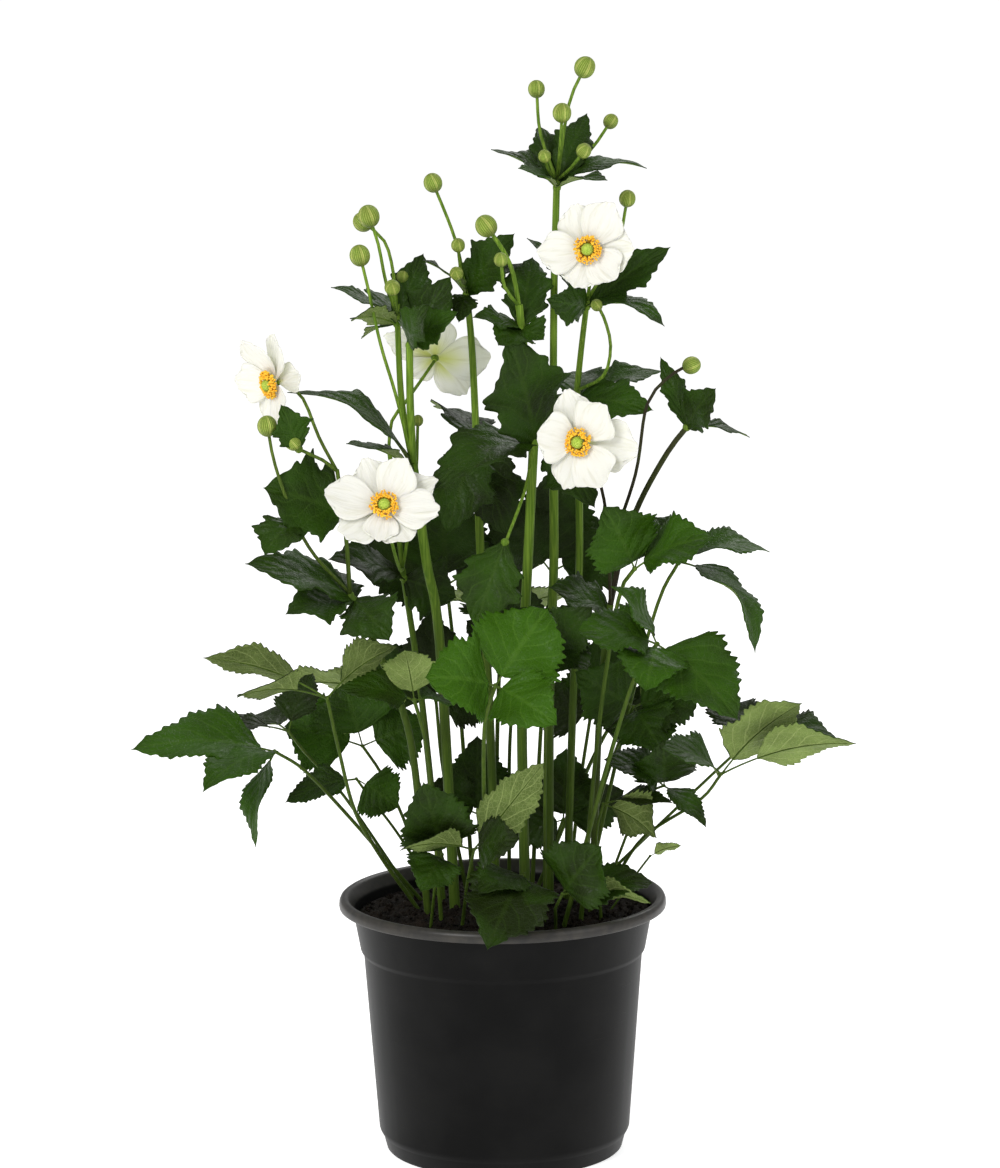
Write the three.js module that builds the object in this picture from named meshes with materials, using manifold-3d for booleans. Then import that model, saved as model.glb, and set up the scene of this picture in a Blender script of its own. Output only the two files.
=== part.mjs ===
import * as THREE from "three";
import { mergeVertices } from "three/addons/utils/BufferGeometryUtils.js";
import Module from "manifold-3d";

// A white Japanese anemone in a round nursery pot. Millimetres, +Z up, origin at the centre of
// the pot's underside. The plant's front looks towards -Y.

const wasm = await Module();
wasm.setup();

// Pot
const potHeight = 150;
const rimRadius = 95;
const rimDepth = 6.5;
const rimBand = 5.5;
const collarTopRadius = 87.4;
const collarBottomRadius = 82.8;
const collarBottomZ = 119;
const bodyTopRadius = 81;
const bodyBottomRadius = 73;
const footTopZ = 9;
const footTopRadius = 70.8;
const footBottomRadius = 68.8;
const potWall = 1.6;
const potFloor = 2.4;
const potSides = 24;
const drainHoles = 6;
const drainHoleRadius = 4.5;
const drainHoleSides = 6;
const drainRingRadius = 50;

// Soil
const soilEdgeZ = 138;
const soilCrown = 6;
const soilRings = [[60, 0.4], [32, 0.85], [0, 1]];
const soilLump = 1.2;
const lumpLength = 21;
const soilGap = 0.5;

// Stalks and blades
const rootDepthZ = 126;
const surfacingZ = 152;
const holeGap = 1;
const sidesByRadius = [[1.35, 3], [2.45, 4], [Infinity, 5]];
const pedicelRadius = 1;
const stepLength = 42;
const rootSink = 1.2;
const ballSides = 5;
const ballRings = 3;
const hubSpread = 1.6;
const whorlRadius = 2.2;
const neckFrom = 10;
const neckHalfWidth = 0.9;
const narrowest = 0.8;
const bladeClearance = 0.6;
const smoothing = 0.05;
const bladeThickness = 0.8;
const bladeRipples = 9;
const leafBreadth = 1.15;
const leafArch = 0.08;
const leafFold = 0.16;
const leafWave = 0.14;
const leafPhaseStep = 2.4;

// Blooms
const discRadius = 3.7;
const discTop = 0.7;
const discBottom = -2.4;
const discSides = 4;
const petalHub = 4.2;
const petalDepth = [-1.8, -0.2];
const petalArch = -0.05;
const petalFold = 0.1;
const petalWave = 0.04;
const upperLean = 7;
const pinStart = -6;
const pinRadius = 1.15;
const pinHoleRadius = 2.3;
const carpelRadius = 3;
const carpelHeight = 4.6;
const stamenRingInner = 3.5;
const stamenRingOuter = 5.2;
const stamenRingBottom = 2.2;
const stamenRingTop = 3.6;
const stamenReach = 8.2;
const stamenHigh = 6;
const stamenLow = 5;
const stamenCount = 10;

// Half outlines: how far along the blade, and how wide there as a share of its half width
const leafletOutline = [[0.1, 0.6], [0.36, 1], [0.7, 0.66]];
const bractOutline = [[0.26, 0.66], [0.55, 0.98], [0.74, 0.5]];
const petalOutline = [[0.22, 0.5], [0.5, 0.94], [0.78, 0.94], [0.95, 0.5]];
const leafRib = [0.5];
const petalRib = [0.55];

// Which way a blade's upper side looks
const up = [0, -0.2, 1];
const upright = [0, -1, 0.15];
const front = [0, -0.85, 0.5];
const frontUp = [0, -0.5, 0.85];
const under = [0, 0.65, 0.75];
const back = [0, 0.5, 0.85];
const left = [-0.85, -0.3, 0.45];
const right = [0.85, -0.3, 0.45];

const finishes = {
  pot: { color: 0x232426, roughness: 0.42, metalness: 0 },
  soil: { color: 0x1d1512, roughness: 1, metalness: 0 },
  leaf: { color: 0x2f4d1d, roughness: 0.55, metalness: 0 },
  stem: { color: 0x4f6b24, roughness: 0.6, metalness: 0 },
  petal: { color: 0xf3f1e6, roughness: 0.6, metalness: 0 },
  stamen: { color: 0xf2a91e, roughness: 0.7, metalness: 0 },
};

// Leaves on a stalk of their own: the root's place in the soil, the points that the stalk
// passes, the last of them its fork, and the leaflets by the places of their tips
const basalLeaves = [
  {
    name: "leaf_left_upper", radius: 1.2, root: [-56, -2],
    stalk: [[-70, -14, 176], [-84, -36, 208], [-92, -50, 246], [-98, -58, 278]],
    leaflets: [
      { tip: [-167, -66, 303], width: 31, face: under, reach: 18 },
      { tip: [-146, -106, 288], width: 29, face: under, reach: 22 },
      { tip: [-58, -44, 305], width: 36, face: under, reach: 12 },
    ],
  },
  {
    name: "leaf_left_lower", radius: 1.12, root: [-56, 20],
    stalk: [[-88, -8, 198], [-112, -38, 232], [-128, -60, 248]],
    leaflets: [
      { tip: [-208, -72, 252], width: 45, face: [0, -0.45, 0.9], reach: 8 },
      { tip: [-165, -122, 238], width: 31, face: up, reach: 8 },
      { tip: [-138, -88, 199], width: 26, face: left, reach: 6 },
    ],
  },
  {
    name: "leaf_left_dark", radius: 0.96, root: [-60, 34],
    stalk: [[-92, 22, 204], [-114, -2, 236], [-122, -18, 251]],
    leaflets: [
      { tip: [-158, -40, 256], width: 24, face: up, reach: 14 },
      { tip: [-108, 2, 281], width: 24, face: up, reach: 6 },
      { tip: [-150, 26, 250], width: 29, face: up, reach: 10 },
    ],
  },
  {
    name: "leaf_left_round", radius: 1.04, root: [-48, 48],
    stalk: [[-58, 42, 186], [-70, 34, 214], [-81, 26, 233]],
    leaflets: [
      { tip: [-127, 32, 244], width: 45, face: front, reach: 8 },
      { tip: [-92, 40, 268], width: 47, face: front, reach: 8 },
      { tip: [-44, 34, 244], width: 43, face: front, reach: 8 },
    ],
  },
  {
    name: "leaf_low_left", radius: 0.88, root: [-44, 30],
    stalk: [[-62, 18, 184], [-76, 6, 206], [-84, 0, 219]],
    leaflets: [
      { tip: [-125, -8, 207], width: 24, face: frontUp, reach: 6 },
      { tip: [-60, -2, 202], width: 31, face: front, reach: 6 },
    ],
  },
  {
    name: "leaf_centre_light", radius: 1.28, root: [-36, -28],
    stalk: [[-40, -36, 222], [-43, -44, 250], [-49, -51, 275]],
    leaflets: [
      { tip: [-54, -62, 306], width: 31, face: under, reach: 5 },
      { tip: [-91, -62, 284], width: 29, face: frontUp, reach: 5 },
      { tip: [-22, -32, 268], width: 24, face: up, reach: 5 },
    ],
  },
  {
    name: "leaf_centre_bright", radius: 1.36, root: [-8, -38],
    stalk: [[-10, -58, 218], [-9, -80, 268], [-3, -88, 290]],
    leaflets: [
      { tip: [-42, -114, 300], width: 46, face: front, reach: 6 },
      { tip: [27, -68, 330], width: 52, face: front, reach: 6 },
      { tip: [31, -122, 274], width: 38, face: front, reach: 6 },
    ],
  },
  {
    name: "leaf_centre_right", radius: 1.04, root: [24, -34],
    stalk: [[25, -42, 250], [27, -46, 298]],
    leaflets: [
      { tip: [52, -58, 329], width: 31, face: front, reach: 5 },
      { tip: [49, -76, 296], width: 29, face: frontUp, reach: 5 },
      { tip: [8, -30, 324], width: 31, face: frontUp, reach: 5 },
    ],
  },
  {
    name: "leaf_twisted", radius: 1.04, root: [-22, -46],
    stalk: [[-20, -56, 170], [-16, -68, 192]],
    leaflets: [
      { tip: [24, -86, 246], width: 26, face: [0.4, 0.8, 0.3], reach: 6 },
      { tip: [-57, -99, 199], width: 22, face: under, reach: 8 },
      { tip: [10, -94, 204], width: 29, face: front, reach: 6 },
    ],
  },
  {
    name: "leaf_left_front", radius: 0.96, root: [-40, -46],
    stalk: [[-38, -54, 170], [-34, -62, 188]],
    leaflets: [
      { tip: [-44, -80, 234], width: 41, face: front, reach: 4 },
      { tip: [-46, -86, 172], width: 29, face: front, reach: 4 },
    ],
  },
  {
    name: "leaf_front_rim", radius: 1.04, root: [8, -50],
    stalk: [[10, -56, 166], [12, -62, 176]],
    leaflets: [
      { tip: [-9, -118, 146], width: 47, face: [0.1, -0.6, 0.8], reach: 5 },
      { tip: [-14, -92, 172], width: 29, face: frontUp, reach: 5 },
    ],
  },
  {
    name: "leaf_right_front", radius: 1.04, root: [30, -58],
    stalk: [[30, -60, 156], [34, -64, 165]],
    leaflets: [
      { tip: [84, -72, 161], width: 24, face: under, reach: 4 },
      { tip: [56, -78, 196], width: 41, face: front, reach: 4 },
      { tip: [86, -52, 168], width: 31, face: frontUp, reach: 5 },
    ],
  },
  {
    name: "leaf_right_low", radius: 1.04, root: [64, 14],
    stalk: [[82, -4, 184], [113, -30, 211], [125, -42, 229]],
    leaflets: [
      { tip: [170, -54, 272], width: 41, face: under, reach: 10 },
      { tip: [200, -62, 250], width: 34, face: under, reach: 22 },
      { tip: [90, -70, 250], width: 34, face: frontUp, reach: 8 },
    ],
  },
  {
    name: "leaf_right_dark", radius: 0.96, root: [60, 32],
    stalk: [[109, 14, 204], [136, 4, 232], [148, 2, 242]],
    leaflets: [
      { tip: [195, -4, 240], width: 36, face: up, reach: 8 },
      { tip: [160, 52, 240], width: 34, face: back, reach: 8 },
      { tip: [124, 42, 252], width: 31, face: up, reach: 8 },
    ],
  },
  {
    name: "leaf_right_small", radius: 0.88, root: [60, 0],
    stalk: [[80, -18, 208], [93, -26, 219]],
    leaflets: [
      { tip: [116, -52, 200], width: 16, face: up, reach: 4 },
      { tip: [92, -42, 249], width: 34, face: front, reach: 4 },
      { tip: [58, -42, 238], width: 31, face: frontUp, reach: 6 },
    ],
  },
  {
    name: "leaf_right_round", radius: 0.96, root: [56, -24],
    stalk: [[54, -28, 190], [58, -32, 210]],
    leaflets: [
      { tip: [88, -42, 192], width: 45, face: under, reach: 5 },
      { tip: [97, -50, 214], width: 22, face: up, reach: 8 },
    ],
  },
  {
    name: "leaf_seedling", radius: 0.72, root: [72, 4],
    stalk: [[78, 6, 160], [86, 8, 170]],
    leaflets: [
      { tip: [104, 8, 176], width: 12, face: under, reach: 3 },
    ],
  },
  {
    name: "leaf_right_high", radius: 1.36, root: [46, -28],
    stalk: [[56, -33, 258], [67, -40, 330], [76, -44, 348]],
    leaflets: [
      { tip: [58, -56, 386], width: 41, face: front, reach: 5 },
      { tip: [120, -58, 368], width: 41, face: frontUp, reach: 7 },
      { tip: [88, -18, 372], width: 26, face: up, reach: 6 },
    ],
  },
  {
    name: "leaf_right_droop", radius: 1.2, root: [50, 12],
    stalk: [[72, 0, 252], [90, -12, 322], [102, -20, 348]],
    leaflets: [
      { tip: [144, -44, 299], width: 41, face: right, reach: 8, arch: 0.2 },
      { tip: [154, -14, 352], width: 31, face: up, reach: 8, arch: 0.14 },
      { tip: [84, 16, 368], width: 31, face: up, reach: 6 },
    ],
  },
  {
    name: "leaf_right_textured", radius: 1.36, root: [38, -42],
    stalk: [[58, -52, 230], [76, -60, 290], [88, -62, 308]],
    leaflets: [
      { tip: [132, -92, 270], width: 49, face: [0.3, -0.7, 0.6], reach: 6 },
      { tip: [80, -98, 288], width: 38, face: front, reach: 5 },
      { tip: [42, -76, 318], width: 41, face: frontUp, reach: 6 },
      { tip: [62, -66, 342], width: 34, face: up, reach: 5 },
    ],
  },
  {
    name: "leaf_right_pair", radius: 1.12, root: [42, 2],
    stalk: [[60, -4, 218], [76, -10, 262]],
    leaflets: [
      { tip: [42, -26, 286], width: 38, face: [0, -1, 0.2], reach: 5 },
      { tip: [118, -14, 274], width: 41, face: front, reach: 5 },
      { tip: [92, -38, 240], width: 36, face: front, reach: 5 },
    ],
  },
  {
    name: "leaf_back_left", radius: 1.3, root: [-34, 58],
    stalk: [[-54, 74, 214], [-74, 84, 254]],
    leaflets: [
      { tip: [-134, 88, 256], width: 44, face: back, reach: 8 },
      { tip: [-96, 138, 240], width: 46, face: back, reach: 8 },
      { tip: [-48, 122, 276], width: 42, face: back, reach: 8 },
    ],
  },
  {
    name: "leaf_back_middle", radius: 1.4, root: [-4, 60],
    stalk: [[-2, 74, 240], [1, 86, 299]],
    leaflets: [
      { tip: [-46, 104, 306], width: 44, face: back, reach: 8 },
      { tip: [0, 142, 280], width: 48, face: back, reach: 8 },
      { tip: [48, 106, 308], width: 44, face: back, reach: 8 },
    ],
  },
  {
    name: "leaf_back_right", radius: 1.3, root: [26, 58],
    stalk: [[54, 74, 214], [75, 84, 249]],
    leaflets: [
      { tip: [130, 84, 252], width: 44, face: back, reach: 8 },
      { tip: [104, 136, 234], width: 46, face: back, reach: 8 },
      { tip: [50, 124, 262], width: 40, face: back, reach: 8 },
    ],
  },
  {
    name: "leaf_tall_left", radius: 1.3, root: [-18, 46],
    stalk: [[-24, 46, 250], [-31, 43, 325]],
    leaflets: [
      { tip: [-84, 34, 350], width: 46, face: front, reach: 8 },
      { tip: [-34, 36, 386], width: 50, face: front, reach: 8 },
      { tip: [10, 40, 346], width: 44, face: front, reach: 8 },
    ],
  },
  {
    name: "leaf_tall_right", radius: 1.3, root: [18, 44],
    stalk: [[24, 44, 250], [30, 44, 332]],
    leaflets: [
      { tip: [78, 40, 352], width: 46, face: front, reach: 8 },
      { tip: [34, 44, 394], width: 50, face: front, reach: 8 },
      { tip: [-8, 34, 376], width: 40, face: front, reach: 8 },
    ],
  },
  {
    name: "leaf_inner_left", radius: 1.2, root: [-23, 40],
    stalk: [[-34, 37, 214], [-38, 35, 258]],
    leaflets: [
      { tip: [-78, 36, 290], width: 34, face: upright, reach: 5, arch: 0.03 },
      { tip: [-40, 33, 312], width: 36, face: upright, reach: 5, arch: 0.03 },
      { tip: [-4, 34, 262], width: 34, face: upright, reach: 5, arch: 0.03 },
    ],
  },
  {
    name: "leaf_inner_centre", radius: 1.2, root: [4, 38],
    stalk: [[5, 37, 232], [10, 35, 281]],
    leaflets: [
      { tip: [-20, 32, 306], width: 30, face: upright, reach: 5, arch: 0.03 },
      { tip: [12, 32, 332], width: 36, face: upright, reach: 5, arch: 0.03 },
      { tip: [44, 34, 314], width: 30, face: upright, reach: 5, arch: 0.03 },
    ],
  },
  {
    name: "leaf_inner_right", radius: 1.2, root: [40, 42],
    stalk: [[46, 38, 206], [52, 36, 246]],
    leaflets: [
      { tip: [14, 34, 262], width: 32, face: upright, reach: 5, arch: 0.03 },
      { tip: [64, 32, 300], width: 38, face: upright, reach: 5, arch: 0.03 },
      { tip: [94, 34, 256], width: 34, face: upright, reach: 5, arch: 0.03 },
    ],
  },
  {
    name: "leaf_inner_low", radius: 1.1, root: [-12, 34],
    stalk: [[-13, 35, 174], [-14, 34, 190]],
    leaflets: [
      { tip: [-50, 31, 206], width: 34, face: upright, reach: 4, arch: 0.03 },
      { tip: [-14, 31, 238], width: 34, face: upright, reach: 4, arch: 0.03 },
      { tip: [16, 33, 212], width: 26, face: upright, reach: 4, arch: 0.03 },
    ],
  },
  {
    name: "leaf_inner_edge", radius: 1.1, root: [26, 36],
    stalk: [[30, 36, 170], [36, 35, 186]],
    leaflets: [
      { tip: [6, 32, 178], width: 24, face: upright, reach: 4, arch: 0.03 },
      { tip: [38, 31, 230], width: 34, face: upright, reach: 4, arch: 0.03 },
      { tip: [72, 33, 204], width: 32, face: upright, reach: 4, arch: 0.03 },
    ],
  },
];

// Flowering stems: the main shoot rooted in the soil, then side shoots and pedicels, each with
// the bud or bloom at its end, and the leaf-like bracts that stand round each joint
const leafyStems = [
  {
    name: "stem_tall", radius: 2.7, root: [27, 8],
    stalk: [[28, 5, 264], [31, 0, 346], [31, -4, 422]],
    shoots: [
      { radius: 2.2, path: [[31, -4, 422], [32, -4, 500], [34, -4, 565]] },
      { path: [[34, -4, 564], [41, -8, 607], [50, -12, 628]], bud: 6 },
      { path: [[34, -4, 564], [25, 3, 590], [23, 6, 615]], bud: 4.9 },
      { path: [[34, -4, 564], [36, -13, 585], [37, -18, 603]], bud: 5.4 },
      { path: [[34, -4, 564], [53, 6, 580], [65, 12, 596]], bud: 4.3 },
      { path: [[34, -4, 564], [42, -15, 572], [49, -22, 582]], bud: 4.3 },
      { path: [[34, -4, 564], [29, -14, 571], [27, -20, 579]], bud: 3.7 },
    ],
    whorls: [
      {
        at: [34, -4, 560],
        bracts: [
          { tip: [-3, -6, 582], width: 23, face: up },
          { tip: [12, -28, 573], width: 18, face: frontUp },
          { tip: [24, 26, 593], width: 21, face: up },
          { tip: [52, 26, 600], width: 21, face: front },
          { tip: [85, 2, 570], width: 23, face: up, arch: 0.16 },
          { tip: [62, -30, 566], width: 21, face: up },
        ],
      },
      {
        at: [31, -4, 417],
        bracts: [
          { tip: [54, -40, 382], width: 35, face: [-0.2, -0.8, 0.6] },
        ],
      },
    ],
  },
  {
    name: "stem_second", radius: 2.2, root: [38, 24],
    stalk: [[42, 20, 264], [46, 18, 346], [45, 16, 442]],
    shoots: [
      { radius: 1.8, path: [[45, 16, 442], [48, 12, 470], [51, 6, 495]] },
      { path: [[51, 6, 495], [53, -4, 511], [52, -14, 523]], bloom: "bloom_top" },
      { path: [[51, 6, 495], [68, 12, 524], [74, 2, 553]], bud: 4.8 },
      { path: [[45, 16, 442], [60, 2, 452], [64, -4, 470], [60, -10, 487], [56, -12, 494]], bud: 3.4 },
    ],
    whorls: [
      {
        at: [50.5, 7, 491],
        bracts: [
          { tip: [17, 24, 529], width: 18, face: up },
          { tip: [99, 16, 524], width: 25, face: front },
          { tip: [27, -24, 499], width: 23, face: [0, -1, 0.1] },
          { tip: [94, -24, 483], width: 25, face: up, arch: 0.16 },
        ],
      },
      {
        at: [45, 16, 437],
        bracts: [
          { tip: [88, -14, 434], width: 30, face: front },
          { tip: [96, 28, 451], width: 30, face: up },
          { tip: [50, 66, 446], width: 38, face: back },
        ],
      },
    ],
  },
  {
    name: "stem_right", radius: 2, root: [52, -8],
    stalk: [[57, -10, 266], [63, -12, 322]],
    shoots: [
      {
        radius: 1.7,
        path: [[63, -12, 322], [70, -10, 353], [80, -12, 381], [96, -18, 411], [109, -20, 428]],
      },
      { path: [[63, -12, 322], [62, -26, 355], [59, -40, 387], [52, -50, 412]], bloom: "bloom_right" },
      {
        path: [[62, -26, 355], [77, -32, 400], [84, -30, 440], [99, -28, 457], [109, -26, 461]],
        bud: 5.1,
      },
      { path: [[109, -20, 428], [113, -25, 435], [116, -28, 440]], bud: 2.6 },
    ],
    whorls: [
      {
        at: [106.5, -19.6, 425],
        bracts: [
          { tip: [92, -8, 464], width: 14, face: front },
          { tip: [122, -42, 450], width: 27, face: front },
          { tip: [143, -6, 417], width: 16, face: up },
        ],
      },
      {
        at: [62.5, -12, 317],
        bracts: [
          { tip: [28, -22, 334], width: 38, face: frontUp },
        ],
      },
    ],
  },
  {
    name: "stem_centre", radius: 2.9, root: [13, -16],
    stalk: [[12, -16, 268], [16, -18, 349], [20, -20, 421]],
    shoots: [
      { radius: 2.4, path: [[20, -20, 421], [16, -22, 459], [12, -24, 496]] },
      { path: [[12, -24, 495], [9, -26, 513], [4, -29, 526], [-6, -30, 541]], bud: 6.2, radius: 1.3 },
      { path: [[12, -24, 495], [4, -33, 507], [2, -40, 523]], bud: 4 },
      { path: [[13, -24, 486], [19, -16, 488], [23, -10, 495]], bud: 3.4 },
      { path: [[20, -20, 421], [15, -36, 394], [3, -52, 364]] },
    ],
    whorls: [
      {
        at: [13, -24, 482],
        bracts: [
          { tip: [-14, -42, 491], width: 21, face: frontUp },
          { tip: [0, -50, 476], width: 28, face: front },
          { tip: [26, -42, 478], width: 21, face: front },
          { tip: [20, 6, 520], width: 28, face: front },
        ],
      },
      {
        at: [20, -20, 416],
        bracts: [
          { tip: [5, -46, 482], width: 49, face: [0.3, -0.9, 0.2] },
          { tip: [-39, -66, 396], width: 40, face: frontUp, arch: 0.16 },
        ],
      },
      {
        at: [3, -52, 365],
        bracts: [
          { tip: [-14, -62, 318], width: 38, face: front },
        ],
      },
    ],
  },
  {
    name: "stem_back", radius: 2.5, root: [-4, 16],
    stalk: [[-7, 14, 262], [-11, 12, 345], [-13, 10, 420]],
    shoots: [
      { radius: 2.1, path: [[-13, 10, 420], [-15, 6, 470], [-18, 4, 504]] },
      { path: [[-18, 4, 503], [-24, 4, 531], [-36, 0, 563]], bud: 5.4 },
      { path: [[-18, 4, 503], [-21, -8, 516], [-22, -16, 529]], bud: 4 },
      { path: [[-18, 4, 503], [-21, -14, 507], [-23, -25, 514]], bud: 3.9 },
    ],
    whorls: [
      {
        at: [-17.7, 4.2, 499],
        bracts: [
          { tip: [10, -10, 535], width: 30, face: front },
          { tip: [18, 10, 516], width: 16, face: up },
          { tip: [-42, -12, 520], width: 21, face: up },
          { tip: [2, 34, 508], width: 23, face: back },
          { tip: [-22, -24, 486], width: 16, face: front },
        ],
      },
      {
        at: [-13, 10, 414],
        bracts: [
          { tip: [-30, -18, 364], width: 38, face: front },
          { tip: [4, -2, 360], width: 38, face: front },
          { tip: [-32, 62, 426], width: 38, face: back },
        ],
      },
    ],
  },
  {
    name: "stem_fork", radius: 2.9, root: [-28, -8],
    stalk: [[-35, -6, 301], [-42, -10, 348], [-49, -13, 405]],
    shoots: [
      { radius: 2.3, path: [[-49, -13, 405], [-50, -18, 440], [-50, -20, 474]] },
      { radius: 1.9, path: [[-49, -13, 405], [-55, -10, 440], [-57, -10, 490]] },
      { path: [[-57, -10, 489], [-63, -13, 508], [-67, -16, 530], [-72, -18, 546]], bud: 6.2 },
      { path: [[-57, -10, 489], [-59, -2, 512], [-64, 2, 530], [-76, 2, 541]], bud: 5.6 },
      {
        path: [[-49, -13, 405], [-58, -22, 445], [-66, -27, 474], [-73, -30, 508], [-77, -30, 525]],
        bud: 5.9,
      },
      { path: [[-57, -10, 489], [-58, -23, 498], [-59, -32, 507]], bud: 4.5 },
      { path: [[-57, -10, 489], [-55, -4, 500], [-54, 2, 509]], bud: 4 },
    ],
    whorls: [
      {
        at: [-57, -10, 484],
        bracts: [
          { tip: [-94, -18, 506], width: 23, face: up },
          { tip: [-82, -42, 490], width: 23, face: under },
          { tip: [-78, 6, 474], width: 16, face: up },
          { tip: [-42, 12, 522], width: 23, face: front },
          { tip: [-72, 34, 498], width: 25, face: back },
        ],
      },
      {
        at: [-50, -20, 473],
        bracts: [
          { tip: [-22, -38, 494], width: 23, face: front },
          { tip: [-26, -18, 512], width: 28, face: front },
          { tip: [-38, -54, 500], width: 23, face: front },
        ],
      },
      {
        at: [-48.4, -12.7, 400],
        bracts: [
          { tip: [-119, -30, 448], width: 32, face: up, arch: 0.16 },
          { tip: [-86, -40, 420], width: 27, face: up },
        ],
      },
    ],
  },
  {
    name: "stem_behind", radius: 1.9, root: [-36, 18],
    stalk: [[-46, 12, 264], [-56, 8, 340]],
    shoots: [
      { radius: 1.5, path: [[-56, 8, 340], [-60, 10, 380], [-63, 6, 412]] },
      { path: [[-63, 6, 411], [-61, 3, 427], [-53, 2, 438], [-44, 6, 450]], bloom: "bloom_back" },
      { path: [[-56, 8, 340], [-48, -2, 390], [-46, -4, 428]], bud: 3.2 },
      { path: [[-56, 8, 340], [-57, -20, 345], [-60, -44, 361]], bloom: "bloom_front" },
    ],
    whorls: [
      {
        at: [-55.4, 8, 335],
        bracts: [
          { tip: [-98, -14, 350], width: 38, face: frontUp },
          { tip: [-25, 4, 324], width: 35, face: [0, -1, 0.2] },
        ],
      },
    ],
  },
  {
    name: "stem_left", radius: 2.1, root: [-44, -14],
    stalk: [[-52, -22, 246], [-70, -30, 300], [-85, -36, 334]],
    shoots: [
      { radius: 1.3, path: [[-85, -36, 334], [-87, -40, 371], [-91, -44, 406]] },
      { path: [[-91, -44, 405], [-101, -42, 424], [-110, -34, 445]], bloom: "bloom_left" },
      {
        path: [[-85, -36, 334], [-104, -50, 358], [-115, -56, 380], [-125, -60, 411], [-129, -60, 433]],
        bud: 5.7,
      },
      { path: [[-91, -44, 405], [-99, -48, 412], [-112, -53, 419], [-115, -56, 423]], bud: 4.5 },
    ],
    whorls: [
      {
        at: [-112, -53, 419],
        bracts: [
          { tip: [-121, -66, 446], width: 22, face: front },
        ],
      },
      {
        at: [-88, -41, 380],
        bracts: [
          { tip: [-132, -58, 398], width: 54, face: front },
        ],
      },
      {
        at: [-115, -56, 379],
        bracts: [
          { tip: [-131, -78, 363], width: 30, face: frontUp },
        ],
      },
      {
        at: [-83, -35, 330],
        bracts: [
          { tip: [-143, -58, 355], width: 38, face: frontUp },
          { tip: [-121, -52, 325], width: 35, face: frontUp },
          { tip: [-62, -68, 312], width: 35, face: front },
          { tip: [-114, 16, 340], width: 35, face: back },
        ],
      },
    ],
  },
];

// Blooms: the middle of the disc, the way that it looks, and each petal's turn from the
// right-hand side, its length and width, and how far it leans forward
const blooms = [
  {
    name: "bloom_top", centre: [51, -26, 527], axis: [-0.12, -0.97, 0.1],
    petals: [
      { turn: 107, length: 28, width: 26, lean: 12 },
      { turn: 62, length: 32, width: 26, lean: 8 },
      { turn: 2, length: 28, width: 28, lean: 14 },
      { turn: 314, length: 25, width: 25, lean: 10 },
      { turn: 252, length: 24, width: 27, lean: 14 },
      { turn: 186, length: 30, width: 25, lean: 8 },
    ],
  },
  {
    name: "bloom_right", centre: [45, -62, 423], axis: [-0.28, -0.95, 0.05],
    petals: [
      { turn: 103, length: 32, width: 22, lean: 10 },
      { turn: 52, length: 30, width: 28, lean: 12 },
      { turn: 356, length: 36, width: 30, lean: 6 },
      { turn: 303, length: 31, width: 29, lean: 12 },
      { turn: 254, length: 29, width: 22, lean: 12 },
      { turn: 170, length: 25, width: 30, lean: 13 },
    ],
  },
  {
    name: "bloom_front", centre: [-64, -74, 389], axis: [0, -0.9, 0.43],
    petals: [
      { turn: 112, length: 31, width: 25, lean: 12 },
      { turn: 66, length: 31, width: 24, lean: 12 },
      { turn: 28, length: 34, width: 22, lean: 4 },
      { turn: 352, length: 34, width: 24, lean: 10 },
      { turn: 306, length: 26, width: 26, lean: 10 },
      { turn: 262, length: 22, width: 20, lean: 2 },
      { turn: 214, length: 31, width: 27, lean: 10 },
      { turn: 168, length: 36, width: 26, lean: 8 },
    ],
  },
  {
    name: "bloom_left", centre: [-126, -34, 454], axis: [-0.8, -0.56, -0.2],
    petals: [
      { turn: 104, length: 33, width: 26, lean: 26 },
      { turn: 66, length: 35, width: 18, lean: -2 },
      { turn: 14, length: 24, width: 18, lean: -6 },
      { turn: 300, length: 24, width: 24, lean: 14 },
      { turn: 252, length: 28, width: 24, lean: 14 },
      { turn: 180, length: 30, width: 24, lean: 12 },
    ],
  },
  {
    name: "bloom_back", centre: [-36, 19, 462], axis: [0.1, 0.92, 0.36],
    petals: [
      { turn: 94, length: 27, width: 25, lean: 8 },
      { turn: 18, length: 33, width: 20, lean: 6 },
      { turn: 318, length: 22, width: 18, lean: 8 },
      { turn: 240, length: 33, width: 22, lean: 2 },
      { turn: 184, length: 33, width: 30, lean: 6 },
    ],
  },
];

function vector(list) {
  return new THREE.Vector3(...list);
}

function solidOf(geometry) {
  const bare = geometry.clone();
  bare.deleteAttribute("uv");
  bare.deleteAttribute("normal");
  const merged = mergeVertices(bare, 1e-4);
  return new wasm.Manifold(
    new wasm.Mesh({
      numProp: 3,
      vertProperties: new Float32Array(merged.attributes.position.array),
      triVerts: new Uint32Array(merged.index.array),
    }),
  );
}

function geometryOf(solid) {
  const mesh = solid.getMesh();
  const geometry = new THREE.BufferGeometry();
  geometry.setAttribute("position", new THREE.BufferAttribute(mesh.vertProperties, 3));
  geometry.setIndex(new THREE.BufferAttribute(mesh.triVerts, 1));
  geometry.computeVertexNormals();
  return geometry;
}

function polygon(radius, sides) {
  const corners = [];
  for (let i = 0; i < sides; i += 1) {
    const angle = (i * 2 * Math.PI) / sides;
    corners.push(new THREE.Vector2(radius * Math.cos(angle), radius * Math.sin(angle)));
  }
  return new THREE.Shape(corners);
}

function curveThrough(points) {
  return new THREE.CatmullRomCurve3(points, false, "catmullrom", 0.5);
}

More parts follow.
